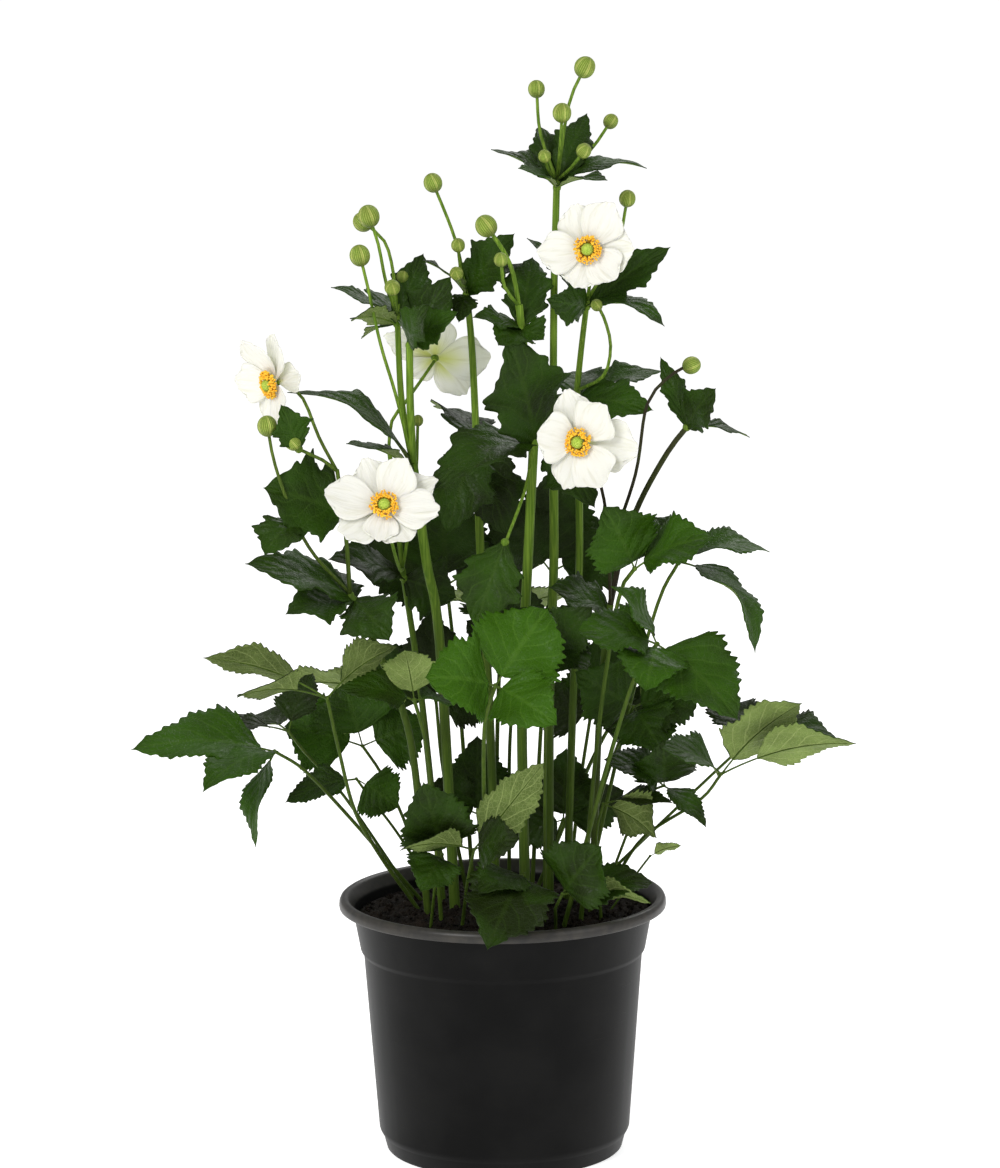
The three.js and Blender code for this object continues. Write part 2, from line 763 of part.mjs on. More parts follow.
function tube(points, radius, allowance = 0) {
  const [, sides] = sidesByRadius.find(([upTo]) => radius <= upTo);
  const path = curveThrough(points);
  const geometry = new THREE.ExtrudeGeometry(polygon(radius + allowance, sides), {
    steps: Math.max(points.length - 1, Math.round(path.getLength() / stepLength)),
    bevelEnabled: false,
    extrudePath: path,
  });
  return solidOf(geometry);
}

// A ball with few sides, its poles up and down
function ball(centre, radius) {
  const geometry = new THREE.SphereGeometry(radius, ballSides, ballRings);
  geometry.rotateX(Math.PI / 2);
  geometry.translate(...centre.toArray());
  return solidOf(geometry);
}

// Triangles between an edge and the rib, which share their first and last points
function zipped(edge, rib) {
  const faces = [];
  let e = 0;
  let r = 0;
  while (e < edge.length - 1 || r < rib.length - 1) {
    const edgeNext = e < edge.length - 1 ? edge[e + 1].t : Infinity;
    const ribNext = r < rib.length - 1 ? rib[r + 1].t : Infinity;
    if (edgeNext <= ribNext) {
      faces.push([rib[r].id, edge[e].id, edge[e + 1].id]);
      e += 1;
    } else {
      faces.push([rib[r].id, edge[e].id, rib[r + 1].id]);
      r += 1;
    }
  }
  return faces.filter((face) => new Set(face).size === 3);
}

// A blade's own directions: along its length, to its right-hand side, and out of its upper face
function bladeFrame(joint, shape) {
  const spine = shape.tip.clone().sub(joint);
  const along = spine.clone().normalize();
  const side = along.clone().cross(shape.face).normalize();
  const normal = side.clone().cross(along);
  return { ...shape, length: spine.length(), along, side, normal };
}

// Puts the blades in their order round the joint, seen from above their hub
function inTurn(blades, hubNormal) {
  const across = blades[0].along.clone().projectOnPlane(hubNormal).normalize();
  const onwards = hubNormal.clone().cross(across);
  for (const one of blades) {
    one.azimuth = Math.atan2(one.along.dot(onwards), one.along.dot(across));
  }
  blades.sort((a, b) => a.azimuth - b.azimuth);
  return (azimuth) => {
    const way = across.clone().multiplyScalar(Math.cos(azimuth));
    return way.addScaledVector(onwards, Math.sin(azimuth));
  };
}

// Thin blades spread from one joint, in one skin with a small hub. Each is arched along its
// length and folded along its rib, and stays clear of its neighbours. The skin's two faces are
// one sheet, moved either way along its normals.
function fan(joint, shapes, { hub, outline, ribStations, fold }) {
  const blades = shapes.map((shape) => bladeFrame(joint, shape));
  const hubNormal = new THREE.Vector3();
  blades.forEach((one) => hubNormal.add(one.normal));
  hubNormal.normalize();
  const wayAt = inTurn(blades, hubNormal);
  const points = [joint.clone()];

  function addPoint(point, t) {
    points.push(point);
    return { t, id: points.length - 1 };
  }

  function placed(one, t, across, sign) {
    const ripple = one.wave * across * Math.sin(bladeRipples * t + one.phase + sign);
    const rise = one.arch * one.length * 4 * t * (1 - t) + fold * across + ripple;
    const point = one.along.clone().multiplyScalar(t * one.length);
    return point.addScaledVector(one.side, sign * across).addScaledVector(one.normal, rise);
  }

  // Narrows the blade where it would come too near to another blade's half of the gap
  function bladePoint(one, t, wide, sign) {
    const isClear = (point) => blades.every((other) => {
      const apart = one.along.clone().sub(other.along);
      return other === one || point.dot(apart.normalize()) > bladeClearance;
    });
    let across = wide;
    let point = placed(one, t, across, sign);
    while (across > narrowest && !isClear(point)) {
      across *= 0.9;
      point = placed(one, t, across, sign);
    }
    return addPoint(point.add(joint), t);
  }

  const valleys = blades.map((one, i) => {
    const next = blades[(i + 1) % blades.length];
    const gap = next.azimuth - one.azimuth + (i === blades.length - 1 ? 2 * Math.PI : 0);
    return addPoint(joint.clone().addScaledVector(wayAt(one.azimuth + gap / 2), hub), 0.01);
  });

  const upper = [];
  const border = [];
  blades.forEach((one, i) => {
    const neck = one.reach / one.length;
    const onBlade = (t) => neck + (1 - neck) * t;
    const necks = one.reach > neckFrom ? [neck] : [];
    const centre = { t: 0, id: 0 };
    const end = bladePoint(one, 1, 0, 0);
    const ribPoints = [...necks, ...ribStations.map(onBlade)].map((t) => bladePoint(one, t, 0, 0));
    const rib = [centre, ...ribPoints, end];
    const edgeOf = (sign) => [
      ...necks.map((t) => bladePoint(one, t, neckHalfWidth, sign)),
      ...outline.map(([t, share]) => bladePoint(one, onBlade(t), (share * one.width) / 2, sign)),
    ];
    const rightEdge = edgeOf(1);
    const leftEdge = edgeOf(-1);
    const before = valleys[(i + blades.length - 1) % blades.length];
    upper.push(...zipped([centre, valleys[i], ...leftEdge, end], rib).map(([a, b, c]) => [a, c, b]));
    upper.push(...zipped([centre, before, ...rightEdge, end], rib));
    border.push(before.id, ...rightEdge.map((point) => point.id), end.id);
    border.push(...leftEdge.reverse().map((point) => point.id));
  });

  const sheet = new THREE.BufferGeometry().setFromPoints(points);
  sheet.setIndex(upper.flat());
  sheet.computeVertexNormals();
  const count = points.length;
  const positions = [1, -1].flatMap((way) => points.flatMap((point, i) => {
    const normal = new THREE.Vector3().fromBufferAttribute(sheet.attributes.normal, i);
    return point.clone().addScaledVector(normal, (way * bladeThickness) / 2).toArray();
  }));
  const index = upper.flatMap(([a, b, c]) => [a, b, c, a + count, c + count, b + count]);
  border.forEach((a, i) => {
    const b = border[(i + 1) % border.length];
    index.push(a, a + count, b);
    index.push(b, a + count, b + count);
  });
  const geometry = new THREE.BufferGeometry();
  geometry.setAttribute("position", new THREE.Float32BufferAttribute(positions, 3));
  geometry.setIndex(index);
  return solidOf(geometry);
}

function leafFan(joint, shapes, radius, outline) {
  const blades = shapes.map((shape, i) => ({
    tip: vector(shape.tip),
    face: vector(shape.face),
    width: leafBreadth * shape.width,
    reach: shape.reach ?? 0,
    arch: shape.arch ?? leafArch,
    wave: leafWave,
    phase: leafPhaseStep * i + joint.x,
  }));
  const form = { hub: hubSpread * radius, outline, ribStations: leafRib, fold: leafFold };
  return fan(joint, blades, form);
}

// A stalk's points from its foot in the soil to its last listed point
function stalkPoints(plantPart) {
  const [x, y] = plantPart.root;
  const upper = plantPart.stalk.map(vector);
  const surfacing = new THREE.Vector3(x, y, surfacingZ);
  const lean = upper[0].clone().sub(surfacing);
  lean.multiplyScalar(1 / lean.z);
  const foot = surfacing.clone().addScaledVector(lean, rootDepthZ - surfacingZ);
  return [foot, surfacing, ...upper];
}

function rootHole(plantPart) {
  const [foot, surfacing, next] = stalkPoints(plantPart);
  const deeper = foot.clone().lerp(surfacing, -0.05);
  return tube([deeper, surfacing.clone().lerp(next, 0.1)], plantPart.radius, holeGap);
}

// Solids that cross each other as one, without the specks that smoothing leaves where they meet
function fused(solids) {
  const bodies = wasm.Manifold.union(solids).simplify(smoothing).decompose();
  return bodies.reduce((largest, body) => (body.volume() > largest.volume() ? body : largest));
}

function basalLeaf(leaf) {
  const points = stalkPoints(leaf);
  const fork = points[points.length - 1];
  const leaflets = leafFan(fork, leaf.leaflets, leaf.radius, leafletOutline);
  return fused([tube(points, leaf.radius), leaflets]);
}

// The pin and the carpels that a bloom's petals and stamens stand round
function bloomHeart(bloom, solids) {
  const axis = vector(bloom.axis).normalize();
  const centre = vector(bloom.centre);
  const start = centre.clone().addScaledVector(axis, pinStart);
  const heart = centre.clone().addScaledVector(axis, carpelHeight);
  solids.push(tube([start, heart], pinRadius));
  solids.push(ball(heart, carpelRadius));
  return start;
}

function leafyStem(stem) {
  const solids = [tube(stalkPoints(stem), stem.radius)];
  for (const shoot of stem.shoots) {
    const points = shoot.path.map(vector);
    points[0].add(points[0].clone().sub(points[1]).setLength(rootSink));
    if (shoot.bloom) {
      const bloom = blooms.find((one) => one.name === shoot.bloom);
      points.push(bloomHeart(bloom, solids));
    }
    solids.push(tube(points, shoot.radius ?? pedicelRadius));
    if (shoot.bud) {
      solids.push(ball(points[points.length - 1], shoot.bud));
    }
  }
  for (const whorl of stem.whorls) {
    solids.push(leafFan(vector(whorl.at), whorl.bracts, whorlRadius, bractOutline));
  }
  return fused(solids);
}

// A bloom's own frame: its axis, and the right-hand side and top of its disc
function bloomFrame(bloom) {
  const axis = vector(bloom.axis).normalize();
  const side = new THREE.Vector3(0, 0, 1).cross(axis).normalize();
  const top = axis.clone().cross(side);
  return { axis, side, top, centre: vector(bloom.centre) };
}

function placedOn(bloom, geometry) {
  const { axis, centre } = bloomFrame(bloom);
  geometry.applyQuaternion(new THREE.Quaternion().setFromUnitVectors(new THREE.Vector3(0, 1, 0), axis));
  geometry.translate(...centre.toArray());
  return solidOf(geometry);
}

function discOn(bloom, radius, bottom, top) {
  const profile = [
    new THREE.Vector2(0, bottom),
    new THREE.Vector2(radius, bottom),
    new THREE.Vector2(radius, top),
    new THREE.Vector2(0, top),
  ];
  return placedOn(bloom, new THREE.LatheGeometry(profile, discSides));
}

function petals(bloom) {
  const { axis, side, top, centre } = bloomFrame(bloom);
  const solids = [discOn(bloom, discRadius, discBottom, discTop)];
  const layers = petalDepth.map((depth, layer) => {
    const joint = centre.clone().addScaledVector(axis, depth);
    const shapes = bloom.petals.filter((_, i) => i % 2 === layer).map((petal) => {
      const turn = THREE.MathUtils.degToRad(petal.turn);
      const lean = THREE.MathUtils.degToRad(petal.lean + layer * upperLean);
      const outward = side.clone().multiplyScalar(Math.cos(turn)).addScaledVector(top, Math.sin(turn));
      const tip = joint.clone().addScaledVector(outward, petal.length * Math.cos(lean));
      tip.addScaledVector(axis, petal.length * Math.sin(lean));
      const bend = { arch: petalArch, wave: petalWave, phase: turn };
      return { tip, face: axis, width: petal.width, reach: 0, ...bend };
    });
    const form = { hub: petalHub, outline: petalOutline, ribStations: petalRib, fold: petalFold };
    return fan(joint, shapes, form);
  });
  solids.push(...layers);
  return fused(solids).subtract(discOn(bloom, pinHoleRadius, discBottom - 1, discTop + 1));
}

// A crown of stamens: a ring whose outer edge runs out into points
function stamens(bloom) {
  const profile = [
    new THREE.Vector2(stamenRingInner, stamenRingBottom),
    new THREE.Vector2(stamenRingOuter, stamenRingBottom),
    new THREE.Vector2(stamenRingInner + 0.6, stamenRingTop),
    new THREE.Vector2(stamenRingInner, stamenRingBottom),
  ];
  const geometry = new THREE.LatheGeometry(profile, 2 * stamenCount);
  const position = geometry.attributes.position;
  const step = Math.PI / stamenCount;
  for (let i = 0; i < position.count; i += 1) {
    const x = position.getX(i);
    const z = position.getZ(i);
    const turnStep = Math.round(Math.atan2(z, x) / step);
    const isPoint = turnStep % 2 !== 0 && Math.hypot(x, z) > stamenRingOuter - 0.1;
    if (isPoint) {
      const grow = stamenReach / stamenRingOuter;
      position.setXYZ(i, x * grow, turnStep % 4 === 1 ? stamenHigh : stamenLow, z * grow);
    }
  }
  return placedOn(bloom, geometry);
}

// The pot's wall, from the middle of its underside out, up and back down inside
function potProfile() {
  const lipZ = potHeight - rimDepth;
  const rimInner = rimRadius - rimBand;
  const floorInner = footTopRadius - potWall - 1.4;
  return [
    [0, 0],
    [footBottomRadius, 0],
    [footTopRadius, footTopZ],
    [bodyBottomRadius, footTopZ + 3],
    [bodyTopRadius, collarBottomZ - 2],
    [collarBottomRadius, collarBottomZ],
    [collarTopRadius, lipZ],
    [rimRadius - 0.8, lipZ],
    [rimRadius, lipZ + 1.4],
    [rimRadius - 0.6, potHeight - 1.4],
    [rimRadius - 2.4, potHeight],
    [rimInner + 0.6, potHeight - 0.5],
    [collarTopRadius - potWall, lipZ - 1],
    [collarBottomRadius - potWall, collarBottomZ + 1],
    [bodyTopRadius - potWall, collarBottomZ - 3],
    [bodyBottomRadius - potWall, footTopZ + 4],
    [floorInner, potFloor],
    [0, potFloor],
  ];
}

function lathe(profile, sides) {
  const geometry = new THREE.LatheGeometry(profile.map(([r, z]) => new THREE.Vector2(r, z)), sides);
  geometry.rotateX(Math.PI / 2);
  return solidOf(geometry);
}

function pot() {
  let solid = lathe(potProfile(), potSides);
  for (let i = 0; i < drainHoles; i += 1) {
    const angle = ((i + 0.5) * 2 * Math.PI) / drainHoles;
    const depth = 3 * potFloor;
    const hole = new THREE.CylinderGeometry(drainHoleRadius, drainHoleRadius, depth, drainHoleSides);
    hole.rotateX(Math.PI / 2);
    hole.translate(drainRingRadius * Math.cos(angle), drainRingRadius * Math.sin(angle), potFloor / 2);
    solid = solid.subtract(solidOf(hole));
  }
  return solid;
}

// Soil fills the pot to just under its rim, crowned in the middle, with a hole for each stalk
function soil(rooted) {
  const inset = potWall + soilGap;
  const collarShare = (soilEdgeZ - collarBottomZ) / (potHeight - rimDepth - collarBottomZ);
  const edgeRadius = THREE.MathUtils.lerp(collarBottomRadius, collarTopRadius, collarShare) - inset;
  const profile = [
    [0, potFloor + soilGap],
    [footTopRadius - inset - 2.6, potFloor + soilGap],
    [bodyBottomRadius - inset - 0.3, footTopZ + 6],
    [bodyTopRadius - inset - 0.3, collarBottomZ - 5],
    [bodyTopRadius - inset + 0.6, collarBottomZ + 2],
    [edgeRadius, soilEdgeZ],
    ...soilRings.map(([radius, climb]) => [radius, soilEdgeZ + climb * soilCrown]),
  ];
  const geometry = new THREE.LatheGeometry(profile.map(([r, z]) => new THREE.Vector2(r, z)), potSides);
  geometry.rotateX(Math.PI / 2);
  const position = geometry.attributes.position;
  for (let i = 0; i < position.count; i += 1) {
    const x = position.getX(i);
    const y = position.getY(i);
    const z = position.getZ(i);
    if (z > soilEdgeZ) {
      const lump = Math.sin((2 * Math.PI * x) / lumpLength) * Math.cos((2 * Math.PI * y) / lumpLength);
      position.setZ(i, z + soilLump * lump);
    }
  }
  const holes = rooted.map(rootHole);
  return solidOf(geometry).subtract(wasm.Manifold.union(holes));
}

function mesh(name, solid, finish) {
  const piece = new THREE.Mesh(geometryOf(solid), new THREE.MeshStandardMaterial(finishes[finish]));
  piece.name = name;
  return piece;
}

const plant = new THREE.Group();
plant.add(mesh("pot", pot(), "pot"));
plant.add(mesh("soil", soil([...basalLeaves, ...leafyStems]), "soil"));
for (const leaf of basalLeaves) {
  plant.add(mesh(leaf.name, basalLeaf(leaf), "leaf"));
}
for (const stem of leafyStems) {
  plant.add(mesh(stem.name, leafyStem(stem), "stem"));
}
for (const bloom of blooms) {
  plant.add(mesh(`${bloom.name}_petals`, petals(bloom), "petal"));
  plant.add(mesh(`${bloom.name}_stamens`, stamens(bloom), "stamen"));
}

export default plant;
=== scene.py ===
import math
import random

import bmesh
import bpy
from mathutils import Matrix, Vector, noise
from mathutils.geometry import interpolate_bezier


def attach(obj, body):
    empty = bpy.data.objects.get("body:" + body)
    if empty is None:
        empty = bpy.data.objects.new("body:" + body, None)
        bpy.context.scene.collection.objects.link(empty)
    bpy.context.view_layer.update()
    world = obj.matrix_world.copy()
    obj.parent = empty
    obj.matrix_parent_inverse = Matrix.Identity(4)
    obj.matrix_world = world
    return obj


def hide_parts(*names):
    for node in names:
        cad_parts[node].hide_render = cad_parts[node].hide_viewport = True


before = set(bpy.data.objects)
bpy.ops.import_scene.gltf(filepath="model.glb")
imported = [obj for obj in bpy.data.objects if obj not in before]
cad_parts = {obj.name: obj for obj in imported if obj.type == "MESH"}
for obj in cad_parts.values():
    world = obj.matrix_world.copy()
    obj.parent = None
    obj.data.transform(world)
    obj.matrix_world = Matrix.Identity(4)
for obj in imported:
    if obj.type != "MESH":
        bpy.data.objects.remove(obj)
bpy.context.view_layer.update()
scene = bpy.context.scene
mm = 0.001

# A white Japanese anemone in a black nursery pot. The plant's points are in millimetres in the
# part's frame, as in the solids: front is -Y, right is +X, the pot's underside is at z 0.


def addObject(name, data):
    thing = bpy.data.objects.new(name, data)
    scene.collection.objects.link(thing)
    return thing


def meshFrom(skin, name):
    mesh = bpy.data.meshes.new(name)
    skin.to_mesh(mesh)
    skin.free()
    return mesh


# Camera, where the photograph's was
photoCamera = {"place": (0, -2.6, 0.7718), "pitchDown": 9.59, "roll": 0.479, "lens": 141.56}


def makeCamera():
    data = bpy.data.cameras.new("photo_camera")
    data.lens = photoCamera["lens"]
    data.sensor_width = 36
    data.clip_end = 200
    camera = addObject("photo_camera", data)
    tilt = Matrix.Rotation(math.radians(90 - photoCamera["pitchDown"]), 4, "X")
    roll = Matrix.Rotation(math.radians(-photoCamera["roll"]), 4, "Z")
    camera.matrix_world = Matrix.Translation(photoCamera["place"]) @ tilt @ roll
    scene.camera = camera


makeCamera()
print("camera made")

# Which way a blade's upper side looks
up = (0, -0.2, 1)
upright = (0, -1, 0.15)
front = (0, -0.85, 0.5)
frontUp = (0, -0.5, 0.85)
under = (0, 0.65, 0.75)
back = (0, 0.5, 0.85)
left = (-0.85, -0.3, 0.45)
right = (0.85, -0.3, 0.45)


# A leaf on a stalk of its own: the stalk's radius, how bright the leaf is, from 0, old and dark,
# to 1, fresh, its root in the soil and the points up to its fork, then each leaflet's tip,
# width, facing, reach of its own little stalk and sometimes its arch
def leafPlan(radius, bright, root, stalk, *leaflets):
    return {"radius": radius, "bright": bright, "root": root, "stalk": stalk, "leaflets": leaflets}


basalLeaves = {
    "leaf_left_upper": leafPlan(
        1.2, 0.1, (-56, -2), [(-70, -14, 176), (-84, -36, 208), (-92, -50, 246), (-98, -58, 278)],
        ((-167, -66, 303), 31, under, 18), ((-146, -106, 288), 29, under, 22),
        ((-58, -44, 305), 36, under, 12)),
    "leaf_left_lower": leafPlan(
        1.12, 0.65, (-56, 20), [(-88, -8, 198), (-112, -38, 232), (-128, -60, 248)],
        ((-208, -72, 252), 45, (0, -0.45, 0.9), 8), ((-165, -122, 238), 31, up, 8),
        ((-138, -88, 199), 26, left, 6)),
    "leaf_left_dark": leafPlan(
        0.96, 0.02, (-60, 34), [(-92, 22, 204), (-114, -2, 236), (-122, -18, 251)],
        ((-158, -40, 256), 24, up, 14), ((-108, 2, 281), 24, up, 6), ((-150, 26, 250), 29, up, 10)),
    "leaf_left_round": leafPlan(
        1.04, 0.5, (-48, 48), [(-58, 42, 186), (-70, 34, 214), (-81, 26, 233)],
        ((-127, 32, 244), 45, front, 8), ((-92, 40, 268), 47, front, 8), ((-44, 34, 244), 43, front, 8)),
    "leaf_low_left": leafPlan(
        0.88, 0.35, (-44, 30), [(-62, 18, 184), (-76, 6, 206), (-84, 0, 219)],
        ((-125, -8, 207), 24, frontUp, 6), ((-60, -2, 202), 31, front, 6)),
    "leaf_centre_light": leafPlan(
        1.28, 0.4, (-36, -28), [(-40, -36, 222), (-43, -44, 250), (-49, -51, 275)],
        ((-54, -62, 306), 31, under, 5), ((-91, -62, 284), 29, frontUp, 5), ((-22, -32, 268), 24, up, 5)),
    "leaf_centre_bright": leafPlan(
        1.36, 0.95, (-8, -38), [(-10, -58, 218), (-9, -80, 268), (-3, -88, 290)],
        ((-42, -114, 300), 46, front, 6), ((27, -68, 330), 52, front, 6), ((31, -122, 274), 38, front, 6)),
    "leaf_centre_right": leafPlan(
        1.04, 0.3, (24, -34), [(25, -42, 250), (27, -46, 298)],
        ((52, -58, 329), 31, front, 5), ((49, -76, 296), 29, frontUp, 5), ((8, -30, 324), 31, frontUp, 5)),
    "leaf_twisted": leafPlan(
        1.04, 0.12, (-22, -46), [(-20, -56, 170), (-16, -68, 192)],
        ((24, -86, 246), 26, (0.4, 0.8, 0.3), 6), ((-57, -99, 199), 22, under, 8),
        ((10, -94, 204), 29, front, 6)),
    "leaf_left_front": leafPlan(
        0.96, 0.3, (-40, -46), [(-38, -54, 170), (-34, -62, 188)],
        ((-44, -80, 234), 41, front, 4), ((-46, -86, 172), 29, front, 4)),
    "leaf_front_rim": leafPlan(
        1.04, 0.1, (8, -50), [(10, -56, 166), (12, -62, 176)],
        ((-9, -118, 146), 47, (0.1, -0.6, 0.8), 5), ((-14, -92, 172), 29, frontUp, 5)),
    "leaf_right_front": leafPlan(
        1.04, 0.2, (30, -58), [(30, -60, 156), (34, -64, 165)],
        ((84, -72, 161), 24, under, 4), ((56, -78, 196), 41, front, 4), ((86, -52, 168), 31, frontUp, 5)),
    "leaf_right_low": leafPlan(
        1.04, 0.45, (64, 14), [(82, -4, 184), (113, -30, 211), (125, -42, 229)],
        ((170, -54, 272), 41, under, 10), ((200, -62, 250), 34, under, 22), ((90, -70, 250), 34, frontUp, 8)),
    "leaf_right_dark": leafPlan(
        0.96, 0.02, (60, 32), [(109, 14, 204), (136, 4, 232), (148, 2, 242)],
        ((195, -4, 240), 36, up, 8), ((160, 52, 240), 34, back, 8), ((124, 42, 252), 31, up, 8)),
    "leaf_right_small": leafPlan(
        0.88, 0.25, (60, 0), [(80, -18, 208), (93, -26, 219)],
        ((116, -52, 200), 16, up, 4), ((92, -42, 249), 34, front, 4), ((58, -42, 238), 31, frontUp, 6)),
    "leaf_right_round": leafPlan(
        0.96, 0.1, (56, -24), [(54, -28, 190), (58, -32, 210)],
        ((88, -42, 192), 45, under, 5), ((97, -50, 214), 22, up, 8)),
    "leaf_seedling": leafPlan(
        0.72, 0.8, (72, 4), [(78, 6, 160), (86, 8, 170)], ((104, 8, 176), 12, under, 3)),
    "leaf_right_high": leafPlan(
        1.36, 0.6, (46, -28), [(56, -33, 258), (67, -40, 330), (76, -44, 348)],
        ((58, -56, 386), 41, front, 5), ((120, -58, 368), 41, frontUp, 7), ((88, -18, 372), 26, up, 6)),
    "leaf_right_droop": leafPlan(
        1.2, 0.45, (50, 12), [(72, 0, 252), (90, -12, 322), (102, -20, 348)],
        ((144, -44, 299), 41, right, 8, 0.2), ((154, -14, 352), 31, up, 8, 0.14), ((84, 16, 368), 31, up, 6)),
    "leaf_right_textured": leafPlan(
        1.36, 0.6, (38, -42), [(58, -52, 230), (76, -60, 290), (88, -62, 308)],
        ((132, -92, 270), 49, (0.3, -0.7, 0.6), 6), ((80, -98, 288), 38, front, 5),
        ((42, -76, 318), 41, frontUp, 6), ((62, -66, 342), 34, up, 5)),
    "leaf_right_pair": leafPlan(
        1.12, 0.35, (42, 2), [(60, -4, 218), (76, -10, 262)],
        ((42, -26, 286), 38, (0, -1, 0.2), 5), ((118, -14, 274), 41, front, 5),
        ((92, -38, 240), 36, front, 5)),
    "leaf_back_left": leafPlan(
        1.3, 0.3, (-34, 58), [(-54, 74, 214), (-74, 84, 254)],
        ((-134, 88, 256), 44, back, 8), ((-96, 138, 240), 46, back, 8), ((-48, 122, 276), 42, back, 8)),
    "leaf_back_middle": leafPlan(
        1.4, 0.4, (-4, 60), [(-2, 74, 240), (1, 86, 299)],
        ((-46, 104, 306), 44, back, 8), ((0, 142, 280), 48, back, 8), ((48, 106, 308), 44, back, 8)),
    "leaf_back_right": leafPlan(
        1.3, 0.2, (26, 58), [(54, 74, 214), (75, 84, 249)],
        ((130, 84, 252), 44, back, 8), ((104, 136, 234), 46, back, 8), ((50, 124, 262), 40, back, 8)),
    "leaf_tall_left": leafPlan(
        1.3, 0.1, (-18, 46), [(-24, 46, 250), (-31, 43, 325)],
        ((-84, 34, 350), 46, front, 8), ((-34, 36, 386), 50, front, 8), ((10, 40, 346), 44, front, 8)),
    "leaf_tall_right": leafPlan(
        1.3, 0.1, (18, 44), [(24, 44, 250), (30, 44, 332)],
        ((78, 40, 352), 46, front, 8), ((34, 44, 394), 50, front, 8), ((-8, 34, 376), 40, front, 8)),
    "leaf_inner_left": leafPlan(
        1.2, 0.04, (-23, 40), [(-34, 37, 214), (-38, 35, 258)],
        ((-78, 36, 290), 34, upright, 5, 0.03), ((-40, 33, 312), 36, upright, 5, 0.03),
        ((-4, 34, 262), 34, upright, 5, 0.03)),
    "leaf_inner_centre": leafPlan(
        1.2, 0.05, (4, 38), [(5, 37, 232), (10, 35, 281)],
        ((-20, 32, 306), 30, upright, 5, 0.03), ((12, 32, 332), 36, upright, 5, 0.03),
        ((44, 34, 314), 30, upright, 5, 0.03)),
    "leaf_inner_right": leafPlan(
        1.2, 0.04, (40, 42), [(46, 38, 206), (52, 36, 246)],
        ((14, 34, 262), 32, upright, 5, 0.03), ((64, 32, 300), 38, upright, 5, 0.03),
        ((94, 34, 256), 34, upright, 5, 0.03)),
    "leaf_inner_low": leafPlan(
        1.1, 0.08, (-12, 34), [(-13, 35, 174), (-14, 34, 190)],
        ((-50, 31, 206), 34, upright, 4, 0.03), ((-14, 31, 238), 34, upright, 4, 0.03),
        ((16, 33, 212), 26, upright, 4, 0.03)),
    "leaf_inner_edge": leafPlan(
        1.1, 0.08, (26, 36), [(30, 36, 170), (36, 35, 186)],
        ((6, 32, 178), 24, upright, 4, 0.03), ((38, 31, 230), 34, upright, 4, 0.03),
        ((72, 33, 204), 32, upright, 4, 0.03)),
}

